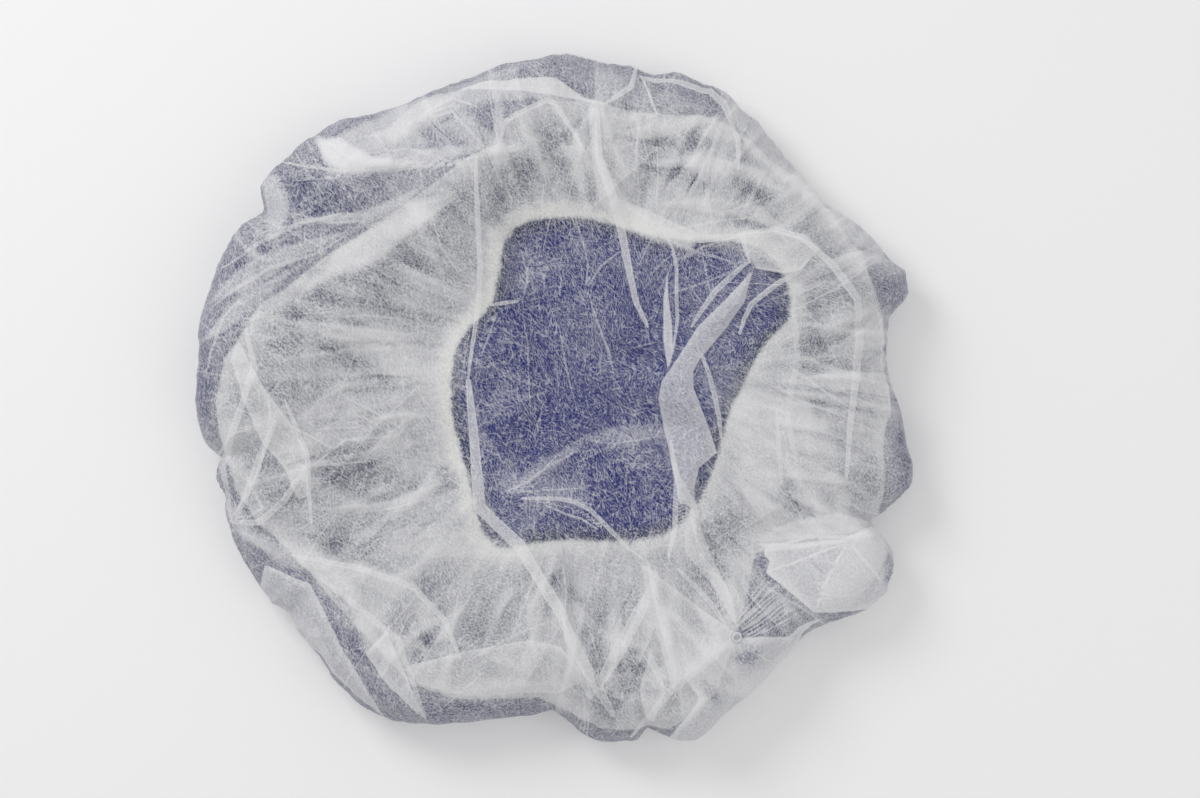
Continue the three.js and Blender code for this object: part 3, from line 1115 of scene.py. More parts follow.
    def lines(self, x: np.ndarray, y: np.ndarray) -> tuple[np.ndarray, LineBand, LineBand]:
        """What the tucks and creases do at places.

        Args:
            x: The places' first coordinates.
            y: The places' second coordinates.

        Returns:
            The rise in millimetres, the nearest tucks, and the nearest creases.
        """
        rise = np.zeros(x.shape)
        tucks, creases = LineBand(len(x)), LineBand(len(x))
        for tuck in TUCKS:
            reading = read_route(tuck.route, x, y)
            taper = self.tuck_ends + (1 - self.tuck_ends) * end_taper(reading.along)
            slope = 1.1 * tuck.width + self.tuck_slope
            rise += tuck.rise * np.clip(1 - reading.gap / slope, 0, 1) * taper
            tucks.add(reading, tuck.width / 2 * taper, tuck.plies)
        for crease in (*CREASES, *self.drawn_creases()):
            reading = read_route(crease.route, x, y)
            taper = end_taper(reading.along)
            rise += crease.rise * np.clip(1 - reading.gap / self.crease_slope, 0, 1) * taper
            creases.add(reading, crease.width / 2 * taper, crease.plies)
        return rise, tucks, creases

    def at(self, x: np.ndarray, y: np.ndarray) -> WebLie:
        """What the folds do at places.

        Args:
            x: The places' first coordinates.
            y: The places' second coordinates.

        Returns:
            The rise of the web, and its layers.
        """
        rise, tucks, creases = self.lines(x, y)
        mouth_edge = self.form.outside_mouth(x, y)
        skirt_edge = outline_depth(SKIRT_OUTLINE, x, y)
        plies = self.layers_below(x, y, mouth_edge, skirt_edge)
        fold_edge, fold_plies = np.full(x.shape, self.no_flap), np.zeros(x.shape)
        for flap in FLAPS:
            depth = outline_depth(flap.outline, x, y)
            rise += flap.rise * rounded_step(-1.5, 3.0, depth)
            if flap.crisp:
                fold_plies = np.where(depth > fold_edge, flap.plies, fold_plies)
                fold_edge = np.maximum(fold_edge, depth)
            else:
                plies += flap.plies * rounded_step(-0.3 * flap.feather, 0.7 * flap.feather, depth)
        for patch in PATCHES:
            share = self.patch_share(patch, x, y)
            plies += patch.plies * share
            if patch.plies < 0:
                fold_plies *= 1 - self.thin_folds * share
        plies = np.maximum(plies, rounded_step(-1.0, 1.0, mouth_edge) - (1 - self.least_plies))
        for veil in self.drawn_veils():
            reading = read_route(veil.route, x, y)
            taper = end_taper(reading.along, 0.8)
            sharp = rounded_step(-0.9, 0.6, reading.side)
            share = sharp * rounded_step(veil.fade, 0.0, reading.side / (taper + 0.05))
            layers = veil.plies * share * taper
            plies += layers
            rise += self.veil_rise * layers
        return WebLie(rise, plies, fold_edge, fold_plies, tucks, creases, skirt_edge, mouth_edge)

    def patch_share(self, patch: Patch, x: np.ndarray, y: np.ndarray) -> np.ndarray:
        """How much of a patch shows at places, with a ragged outline.

        Args:
            patch: The patch.
            x: The places' first coordinates.
            y: The places' second coordinates.

        Returns:
            The patch's share at each place.
        """
        turn = math.radians(patch.degrees)
        right = (x - patch.x) * math.cos(turn) + (y - patch.y) * math.sin(turn)
        away = (y - patch.y) * math.cos(turn) - (x - patch.x) * math.sin(turn)
        ragged = 0.3 * self.warp.at(right / 16 + patch.x, away / 4)
        ragged = ragged + 0.2 * self.calm.at(right / 6, away / 2.2)
        pointed = (np.abs(right) / patch.reach_x) ** 1.2 + (np.abs(away) / patch.reach_y) ** 1.2
        return rounded_step(1.25, 0.35, pointed + ragged)

    def layers_below(
        self, x: np.ndarray, y: np.ndarray, mouth_edge: np.ndarray, skirt_edge: np.ndarray
    ) -> np.ndarray:
        """The layers below the crown: the gathered skirt, or the sag of the web within the mouth.

        Args:
            x: The places' first coordinates.
            y: The places' second coordinates.
            mouth_edge: How far they lie outside the mouth.
            skirt_edge: How deep they lie within the skirt's outline.

        Returns:
            The layers, besides the crown's own.
        """
        across, up = x - self.form.mouth_centre[0], y - self.form.mouth_centre[1]
        angle = np.arctan2(up, across)
        outward = np.clip(mouth_edge / (mouth_edge + np.maximum(skirt_edge, 0) + 1e-6), 0, 1)
        gathers = self.cloud.at(26 * np.cos(angle) + 60, 26 * np.sin(angle) + outward * 2.2)
        fine = self.cloud.at(52 * np.cos(angle) + 20, 52 * np.sin(angle) + outward * 3.0)
        smooth_skirt = rounded_step(-1.0, 1.0, skirt_edge)
        towards_hem = (1 - outward) ** 2
        plies = self.plain_plies + smooth_skirt * (self.skirt_plies + self.hem_plies * towards_hem)
        plies += smooth_skirt * (self.gather_plies * gathers + self.fine_gather_plies * fine)
        clouds = 0.5 * self.cloud.at(x / 12, y / 12) + 0.4 * self.cloud.at(x / 5 + 9, y / 5)
        plies += clouds * (0.5 + smooth_skirt)
        plies = np.maximum(plies, 0.5) * rounded_step(-1.0, 1.0, mouth_edge)
        sag = 0.5 * self.cloud.at(x / 19 + 3, y / 19) + 0.22 * self.calm.at(x / 7, y / 7) - 0.1
        for patch in SAGS:
            sag = sag + patch.plies * self.patch_share(patch, x, y)
        return plies + np.maximum(sag, -0.5) * rounded_step(1.0, -1.0, mouth_edge)


# ------------------------------------------------------------------ materials


class NodeBench:
    """Adds and links the nodes of one material or node group."""

    def __init__(self, tree: bpy.types.NodeTree) -> None:
        """Works on that tree."""
        self.tree = tree

    def add(self, kind: str, **settings: str | bool | bpy.types.NodeTree) -> bpy.types.Node:
        """Adds a node.

        Args:
            kind: The node's kind.
            settings: Its own settings, by name.

        Returns:
            The node.
        """
        node = self.tree.nodes.new(kind)
        for name, value in settings.items():
            setattr(node, name, value)
        return node

    def feed(self, socket: bpy.types.NodeSocket, value: Given) -> None:
        """Links an output to a socket, or sets the socket's own value.

        Args:
            socket: The input.
            value: The output that is linked to it, or the value that it takes.
        """
        if isinstance(value, bpy.types.NodeSocket):
            self.tree.links.new(value, socket)
        else:
            socket.default_value = value

    def math(self, operation: str, *values: Given, clamp: bool = False) -> bpy.types.NodeSocket:
        """Adds a calculation.

        Args:
            operation: The kind of calculation.
            values: What it works on, in order.
            clamp: Whether the result stays between 0 and 1.

        Returns:
            The output with the result.
        """
        node = self.add("ShaderNodeMath", operation=operation, use_clamp=clamp)
        for socket, value in zip(node.inputs, values):
            self.feed(socket, value)
        return node.outputs[0]

    def chain(self, operation: str, first: Given, *others: Given) -> bpy.types.NodeSocket:
        """The result of a calculation that goes on with each of the others in turn.

        Args:
            operation: The kind of calculation, of two values.
            first: The value to start from.
            others: The values to go on with.

        Returns:
            The output of the last node.
        """
        for other in others:
            first = self.math(operation, first, other)
        return first

    def step(
        self, value: Given, low: float, high: float, to_low: float = 0.0, to_high: float = 1.0
    ) -> bpy.types.NodeSocket:
        """Adds a smooth step.

        Args:
            value: What is stepped.
            low: Where the step starts.
            high: Where it ends.
            to_low: The result up to its start.
            to_high: The result from its end.

        Returns:
            The output with the result.
        """
        node = self.add("ShaderNodeMapRange", interpolation_type="SMOOTHSTEP")
        for socket, given in zip(node.inputs, (value, low, high, to_low, to_high)):
            self.feed(socket, given)
        return node.outputs[0]

    def blend(self, share: Given, first: Given, second: Given) -> bpy.types.NodeSocket:
        """Adds a blend of two colours.

        Args:
            share: How much of the second colour shows.
            first: The first colour.
            second: The second colour.

        Returns:
            The output with the colour.
        """
        node = self.add("ShaderNodeMix", data_type="RGBA")
        self.feed(node.inputs["Factor"], share)
        for socket, tone in zip(node.inputs[6:8], (first, second)):
            self.feed(socket, (*tone, 1.0) if isinstance(tone, tuple) else tone)
        return node.outputs[2]

    def attribute(self, name: str, output: str = "Fac") -> bpy.types.NodeSocket:
        """What the mesh's attribute of that name reads."""
        return self.add("ShaderNodeAttribute", attribute_name=name).outputs[output]

    def strands(
        self, place: Given, degrees: float, length: float, width: float, detail: float = 1.0
    ) -> bpy.types.NodeSocket:
        """Adds a noise that is drawn out along a direction.

        Args:
            place: Where on the web, in millimetres.
            degrees: The direction that it is drawn out along.
            length: The noise's size along it.
            width: The noise's size across it.
            detail: How many finer noises are added.

        Returns:
            The output with the noise, between 0 and 1.
        """
        turned = self.add("ShaderNodeMapping", vector_type="TEXTURE")
        self.feed(turned.inputs["Vector"], place)
        turned.inputs["Rotation"].default_value = (0.0, 0.0, math.radians(degrees))
        turned.inputs["Scale"].default_value = (length, width, 1.0)
        noise = self.add("ShaderNodeTexNoise", noise_dimensions="2D")
        self.feed(noise.inputs["Vector"], turned.outputs[0])
        noise.inputs["Scale"].default_value = 1.0
        noise.inputs["Detail"].default_value = detail
        noise.inputs["Roughness"].default_value = 0.5
        return noise.outputs["Fac"]

    def bump(
        self, shader: bpy.types.Node, height: Given, strength: float, depth: float, invert: bool = False
    ) -> None:
        """Raises a shader's surface by a height.

        Args:
            shader: The shader that gets the relief.
            height: The height, as a share of the depth.
            strength: How plainly the relief shows.
            depth: The relief's depth, in millimetres.
            invert: Whether the height goes down instead of up.
        """
        node = self.add("ShaderNodeBump", invert=invert)
        node.inputs["Strength"].default_value = strength
        node.inputs["Distance"].default_value = depth * MM
        self.feed(node.inputs["Height"], height)
        self.feed(shader.inputs["Normal"], node.outputs["Normal"])


def new_finish(name: str) -> tuple[bpy.types.Material, NodeBench, bpy.types.Node]:
    """A new material.

    Args:
        name: Its name.

    Returns:
        The material, the bench for its nodes, and its shader.
    """
    material = bpy.data.materials.new(name)
    material.use_nodes = True
    return material, NodeBench(material.node_tree), material.node_tree.nodes["Principled BSDF"]


class FibreWeb:
    """The node group of spunbond fibres, shared by every finish of the web.

    It takes the number of layers and a place on the flat cut, in millimetres, and gives how much of
    the painted shade that shows through from below is hidden, and the height of the fibres.
    """

    NAME = "fibre web"
    # What lies below is a painted shade, seen through the web where it is thin.
    SHOWN_PER_LAYER = 0.84  # the share of what lies below that one layer lets through
    LAYERS_PER_THREAD = 1.9
    MOST_THREADS = 2.2  # that count where fibres cross
    BETWEEN_THREADS = -0.2  # the layers where no fibre lies
    LAYERS_PER_FLECK = 1.1
    # The short bonded flecks of the top layer, and the specks of those below, in the terms of THREADS.
    FLECKS = (-57, 1.8, 0.85)
    SPECKS = (-50, 1.45, 0.7)
    LEAST_BELOW = -0.6  # of the layers below the top one, where the web is drawn thin
    THREAD_LINES = 5.0  # how many contour lines of the noise are fibres
    THREAD_SHARE = 0.10  # half of a fibre's share of the space between two such lines
    MOST_HEIGHT = 1.4  # the fibres' height from which the web is at its smoothest
    # The ways the fibres run: degrees, and the length and width of their bends in millimetres.
    THREADS = (
        (-52, 24.0, 2.6), (-66, 18.0, 3.0), (-24, 22.0, 3.2),
        (12, 20.0, 3.6), (72, 22.0, 3.6), (-88, 26.0, 3.4),
    )

    @classmethod
    def group(cls) -> bpy.types.NodeTree:
        """Builds the group on first use.

        Returns:
            The group.
        """
        made = bpy.data.node_groups.get(cls.NAME)
        if made:
            return made
        tree = bpy.data.node_groups.new(cls.NAME, "ShaderNodeTree")
        for name, kind, direction in (
            ("Layers", "NodeSocketFloat", "INPUT"),
            ("Place", "NodeSocketVector", "INPUT"),
            ("Cover", "NodeSocketFloat", "OUTPUT"),
            ("Height", "NodeSocketFloat", "OUTPUT"),
        ):
            tree.interface.new_socket(name=name, in_out=direction, socket_type=kind)
        bench = NodeBench(tree)
        given = bench.add("NodeGroupInput")
        place, layers = given.outputs["Place"], given.outputs["Layers"]
        threads = 0.0
        for degrees, length, width in cls.THREADS:
            threads = bench.math("ADD", threads, cls._threads(bench, place, degrees, length, width))
        flecks = bench.step(bench.strands(place, *cls.FLECKS, 2.0), 0.43, 0.60)
        crossed = bench.math("MINIMUM", threads, cls.MOST_THREADS)
        top = bench.math("MULTIPLY_ADD", crossed, cls.LAYERS_PER_THREAD, cls.BETWEEN_THREADS)
        top = bench.math("MULTIPLY_ADD", flecks, cls.LAYERS_PER_FLECK, top)
        specks = bench.math("SUBTRACT", bench.step(bench.strands(place, *cls.SPECKS, 3.0), 0.40, 0.60), 0.5)
        below = bench.math("MAXIMUM", bench.math("SUBTRACT", layers, 1.0), cls.LEAST_BELOW)
        unevenness = bench.step(below, 1.0, 6.0, 1.0, 0.24)
        below = bench.math("MULTIPLY", below, bench.math("MULTIPLY_ADD", specks, unevenness, 1.0))
        depth = bench.math("MAXIMUM", bench.math("ADD", top, below), 0.0)
        shown = bench.math("POWER", cls.SHOWN_PER_LAYER, depth)
        out = bench.add("NodeGroupOutput")
        bench.feed(out.inputs["Cover"], bench.math("SUBTRACT", 1.0, shown, clamp=True))
        height = bench.math("MULTIPLY_ADD", threads, 0.5, bench.math("MULTIPLY", flecks, 0.5))
        bench.feed(out.inputs["Height"], height)
        return tree

    @classmethod
    def place_in(cls, bench: NodeBench, layers: Given) -> bpy.types.Node:
        """Adds the group to a material, on the web's own cut.

        Args:
            bench: The bench of the material's nodes.
            layers: The number of layers at a place.

        Returns:
            The group's node.
        """
        web = bench.add("ShaderNodeGroup", node_tree=cls.group())
        bench.feed(web.inputs["Layers"], layers)
        bench.feed(web.inputs["Place"], bench.attribute("cut_place", "Vector"))
        return web

    @classmethod
    def dress(
        cls,
        bench: NodeBench,
        shader: bpy.types.Node,
        web: bpy.types.Node,
        tones: tuple[Given, Given],
        rough: Span,
        relief: Span,
    ) -> None:
        """Gives a shader the fibres' colour, roughness and relief.

        Args:
            bench: The bench of the material's nodes.
            shader: The shader.
            web: The group's node.
            tones: The painted shade that shows through from below, and the colour of the web.
            rough: The roughness between the fibres, and that on them.
            relief: How plainly the relief shows, and its depth in millimetres.
        """
        height = web.outputs["Height"]
        bench.feed(shader.inputs["Base Color"], bench.blend(web.outputs["Cover"], *tones))
        bench.feed(shader.inputs["Roughness"], bench.step(height, 0.0, cls.MOST_HEIGHT, *rough))
        bench.bump(shader, height, *relief)

    @staticmethod
    def _threads(
        bench: NodeBench, place: Given, degrees: float, length: float, width: float
    ) -> bpy.types.NodeSocket:
        """Single fibres: the thin contour lines of a drawn-out noise.

        Args:
            bench: The bench of the group's nodes.
            place: Where on the web.
            degrees: The way the fibres run.
            length: The length of their bends, in millimetres.
            width: The width of their bends, in millimetres.

        Returns:
            The output that is 1 on a fibre and 0 between them.
        """
        noise = bench.strands(place, degrees, length, width, 1.0)
        waves = bench.math("PINGPONG", bench.math("MULTIPLY", noise, FibreWeb.THREAD_LINES), 0.5)
        return bench.step(waves, 0.0, FibreWeb.THREAD_SHARE, 1.0, 0.0)


@dataclass(frozen=True)
class WebFinish:
    """The thin white web: fibres over a painted dark blue shade that shows through where it is thin."""

    name: str = "spunbond web"
    fibre_white: Tone = (0.83, 0.83, 0.84)
    hem_white: Tone = (0.80, 0.80, 0.775)
    # Painted shade seen through the web: dark blue within the mouth, and the darker grey of skirt_shade_below
    # where the skirt lies below.
    below: Tone = (0.026, 0.032, 0.16)
    skirt_shade_below: Tone = (0.040, 0.047, 0.088)
    hem_width: float = 6.0
    hem_plies: float = 6.5
    hem_ragged: float = 5.6  # how far the hem's edge wanders as it shows through, in millimetres
    fan: WeldFan = WeldFan()
    rough: Span = (0.82, 0.58)  # between the fibres, and on them
    relief: Span = (0.5, 0.05)  # how plainly it shows, and its depth in millimetres
    sheen: float = 0.12
    sheen_roughness: float = 0.5
    specular: float = 0.25

    def make(self) -> bpy.types.Material:
        """Mixes the finish.

        Returns:
            The finished material.
        """
        material, bench, shader = new_finish(self.name)
        place = bench.attribute("cut_place", "Vector")
        wander = bench.strands(place, 20, 5.0, 5.0, 4.0)
        ragged = bench.math("MULTIPLY_ADD", wander, self.hem_ragged, -self.hem_ragged / 2)
        mouth = bench.math("ADD", bench.attribute("mouth_edge"), ragged)
        band = bench.math(
            "MULTIPLY",
            bench.step(mouth, -1.4, 1.6),
            bench.step(mouth, self.hem_width - 4.0, self.hem_width + 3.0, 1.0, 0.0),
        )
        bumps = bench.step(bench.strands(place, 0, 1.5, 1.5, 1.0), 0.3, 0.7, 0.55, 1.35)
        band = bench.chain("MULTIPLY", bench.attribute("hem_show"), bumps, band)
        layers = bench.math("ADD", bench.attribute("plies"), 1.0)
        layers = bench.chain(
            "ADD",
            bench.math("MULTIPLY_ADD", band, self.hem_plies, layers),
            self._fold(bench),
            self._line(bench, "tuck", 0.3, 0.7),
            self._line(bench, "crease", 0.25, 0.3),
            self._skirt(bench),
            self._weld_fan(bench),
        )
        web = FibreWeb.place_in(bench, layers)
        white = bench.blend(bench.math("MINIMUM", band, 1.0), self.fibre_white, self.hem_white)
        # Painted shade that shows through the thin web: dark blue within the mouth, turning greyer over the
        # skirt.
        grey_shade_share = bench.math(
            "MULTIPLY",
            bench.step(mouth, -10.0, 1.0, 0.0, 1.0),
            bench.step(bench.attribute("skirt_edge"), -6.0, 4.0, 0.5, 0.9),
        )
        shade_seen_through = bench.blend(grey_shade_share, self.below, self.skirt_shade_below)
        FibreWeb.dress(bench, shader, web, (shade_seen_through, white), self.rough, self.relief)
        shader.inputs["Sheen Weight"].default_value = self.sheen
        shader.inputs["Sheen Roughness"].default_value = self.sheen_roughness
        shader.inputs["Specular IOR Level"].default_value = self.specular
        return material

    @staticmethod
    def _fold(bench: NodeBench) -> bpy.types.NodeSocket:
        """The layers of the wide folds: a little more just inside the edge, where the web turns over.

        Args:
            bench: The bench of the material's nodes.

        Returns:
            The output with the layers.
        """
        depth = bench.attribute("fold_edge")
        inside = bench.step(depth, -0.35, 0.35)
        turn = bench.step(depth, 0.0, 3.5, 1.45, 0.85)
        return bench.chain("MULTIPLY", inside, turn, bench.attribute("fold_plies"))

    @staticmethod
    def _line(bench: NodeBench, kind: str, soft: float, glow: float) -> bpy.types.NodeSocket:
        """The layers of the narrow folds of a kind: whole within the line, brightest at its edges.

        Args:
            bench: The bench of the material's nodes.
            kind: The kind of fold, as the attributes name it.
            soft: How far the line's edge fades, in millimetres.
            glow: How wide its bright edge is, in millimetres.

        Returns:
            The output with the layers.
        """
        off = bench.math("ABSOLUTE", bench.attribute(f"{kind}_side"))
        depth = bench.math("SUBTRACT", bench.attribute(f"{kind}_half"), off)
        inside = bench.step(depth, -soft, soft)
        turn = bench.step(depth, 0.0, glow + 0.01, 1.3, 0.85)
        return bench.chain("MULTIPLY", inside, turn, bench.attribute(f"{kind}_plies"))

    def _weld_fan(self, bench: NodeBench) -> bpy.types.NodeSocket:
        """The layers of the fine pleats that run together at the weld.

        Args:
            bench: The bench of the material's nodes.

        Returns:
            The output with the layers.
        """
        from_meeting = bench.attribute("weld_place", "Vector")
        place = bench.add("ShaderNodeSeparateXYZ")
        bench.feed(place.inputs[0], from_meeting)
        across, up = place.outputs["X"], place.outputs["Y"]
        squares = [bench.math("POWER", side, 2.0) for side in (across, up)]
        reach = bench.math("SQRT", bench.math("ADD", *squares))
        start, end = (math.radians(degrees) for degrees in self.fan.degrees)
        turned = bench.math("SUBTRACT", bench.math("ARCTAN2", up, across), start)
        turn = bench.math("DIVIDE", turned, end - start)
        bend = bench.math("MULTIPLY", bench.strands(from_meeting, self.fan.heading, 60.0, 3.2), 2.6)
        waves = bench.math("MULTIPLY_ADD", turn, float(self.fan.pleats), bend)
        return bench.chain(
            "MULTIPLY",
            bench.step(turn, -0.08, 0.0),
            bench.step(turn, 1.0, 1.08, 1.0, 0.0),
            bench.step(reach, self.fan.behind + 2.6, self.fan.behind + 5.0),
            bench.step(reach, 0.7 * self.fan.reach, self.fan.reach, 1.0, 0.0),
            bench.step(bench.math("PINGPONG", waves, 0.5), 0.08, 0.32, 4.0, -0.2),
        )

    @staticmethod
    def _skirt(bench: NodeBench) -> bpy.types.NodeSocket:
        """The layers where the skirt folds back at its outer edge.

        Args:
            bench: The bench of the material's nodes.

        Returns:
            The output with the layers.
        """
        depth = bench.attribute("skirt_edge")
        inside = bench.step(depth, -0.6, 0.6)
        fade = bench.step(depth, 0.0, 14.0, 3.0, 0.0)
        return bench.math("MULTIPLY", inside, fade)


@dataclass(frozen=True)
class GatheredHemFinish:
    """The hem's doubled, tightly gathered web."""

    name: str = "gathered hem web"
    white: Tone = (0.78, 0.78, 0.755)
    # Painted shade that shows between the hem's fibres.
    below: Tone = (0.20, 0.21, 0.27)
    layers: float = 12.0
    rough: Span = (0.88, 0.66)  # between the fibres, and on them
    relief: Span = (0.6, 0.08)  # how plainly it shows, and its depth in millimetres
    sheen: float = 0.15

    def make(self) -> bpy.types.Material:
        """Mixes the finish.

        Returns:
            The finished material.
        """
        material, bench, shader = new_finish(self.name)
        web = FibreWeb.place_in(bench, self.layers)
        FibreWeb.dress(bench, shader, web, (self.below, self.white), self.rough, self.relief)
        shader.inputs["Sheen Weight"].default_value = self.sheen
        return material


@dataclass(frozen=True)
class ElasticFinish:
    """A flat braided elastic: the fine bumps of its strands, slightly warm, with painted shade in the hollows
    between them.
    """

    name: str = "flat elastic"
    light: Tone = (0.80, 0.76, 0.66)
    hollow_shade: Tone = (0.58, 0.54, 0.46)
    braid: float = 1.4  # strands for each millimetre
    rough: Span = (0.5, 0.75)  # on a strand, and between two
    relief: Span = (0.7, 0.1)  # how plainly it shows, and its depth in millimetres

    def make(self) -> bpy.types.Material:
        """Mixes the finish.

        Returns:
            The finished material.
        """
        material, bench, shader = new_finish(self.name)
        place = bench.add("ShaderNodeNewGeometry").outputs["Position"]
        scaled = bench.add("ShaderNodeVectorMath", operation="SCALE")
        bench.feed(scaled.inputs[0], place)
        scaled.inputs["Scale"].default_value = 1 / MM
        strands = bench.add("ShaderNodeTexVoronoi", voronoi_dimensions="3D")
        strands.inputs["Scale"].default_value = self.braid
        bench.feed(strands.inputs["Vector"], scaled.outputs[0])
        # Painted shade: the colour darkens in the hollows between the strands.
        between = bench.step(strands.outputs["Distance"], 0.1, 0.7)
        bench.feed(shader.inputs["Base Color"], bench.blend(between, self.light, self.hollow_shade))
        bench.feed(shader.inputs["Roughness"], bench.step(between, 0.0, 1.0, *self.rough))
        bench.bump(shader, between, *self.relief, invert=True)
        return material


@dataclass(frozen=True)
class WeldFinish:
    """Web that a weld has fused: smooth, thin in the pressed dish and dense at its raised edge."""

    name: str = "fused web"
    white: Tone = (0.84, 0.85, 0.86)
    # Painted shade that shows between the fused web's fibres, most in the thin pressed dish.
    below: Tone = (0.13, 0.14, 0.19)
    dish_layers: float = 4.0
    edge_layers: float = 9.0
    rough: Span = (0.5, 0.32)  # between the fibres, and on them
    relief: Span = (0.3, 0.04)  # how plainly it shows, and its depth in millimetres

    def make(self) -> bpy.types.Material:
        """Mixes the finish.

        Returns:
            The finished material.
        """
        material, bench, shader = new_finish(self.name)
        edge = bench.attribute("raised_edge")
        web = FibreWeb.place_in(bench, bench.math("MULTIPLY_ADD", edge, self.edge_layers, self.dish_layers))
        FibreWeb.dress(bench, shader, web, (self.below, self.white), self.rough, self.relief)
        return material


# ------------------------------------------------------------------ pieces


def in_scene(name: str, data: bpy.types.ID) -> bpy.types.Object:
    """A new object of the scene.

    Args:
        name: Its name.
        data: Its mesh, lamp or camera.

    Returns:
        The object.
    """
    made = bpy.data.objects.new(name, data)
    bpy.context.scene.collection.objects.link(made)
    return made


def mesh_piece(
    name: str, places: np.ndarray, faces: np.ndarray, finish: bpy.types.Material
) -> bpy.types.Object:
    """A smooth-shaded piece from its points and faces.

    Args:
        name: The piece's name.
        places: Its points, in millimetres.
        faces: The points of each four-sided face.
        finish: Its material.

    Returns:
        The piece, linked to the scene.
    """
    mesh = bpy.data.meshes.new(name)
    mesh.from_pydata((places * MM).tolist(), [], faces.tolist())
    mesh.shade_smooth()
    mesh.materials.append(finish)
    return in_scene(name, mesh)


def ring_faces(rings: int, steps: int) -> np.ndarray:
    """The faces between closed rings of points, of which the last one meets the first.

    Args:
        rings: How many rings there are.
        steps: How many points each ring has.

    Returns:
        The points of each four-sided face.
    """
    near = np.arange(rings * steps).reshape(rings, steps)
    far = np.roll(near, -1, 0)
    return np.stack([near, far, np.roll(far, -1, 1), np.roll(near, -1, 1)], axis=2).reshape(-1, 4)


def give_attribute(piece: bpy.types.Object, name: str, values: np.ndarray) -> None:
    """Gives each point of a piece a value or a vector that its material can read.

    Args:
        piece: The piece.
        name: The attribute's name.
        values: One value or vector for each point.
    """
    vector = values.ndim == 2
    attribute = piece.data.attributes.new(name, "FLOAT_VECTOR" if vector else "FLOAT", "POINT")
    attribute.data.foreach_set("vector" if vector else "value", values.astype(np.float32).ravel())


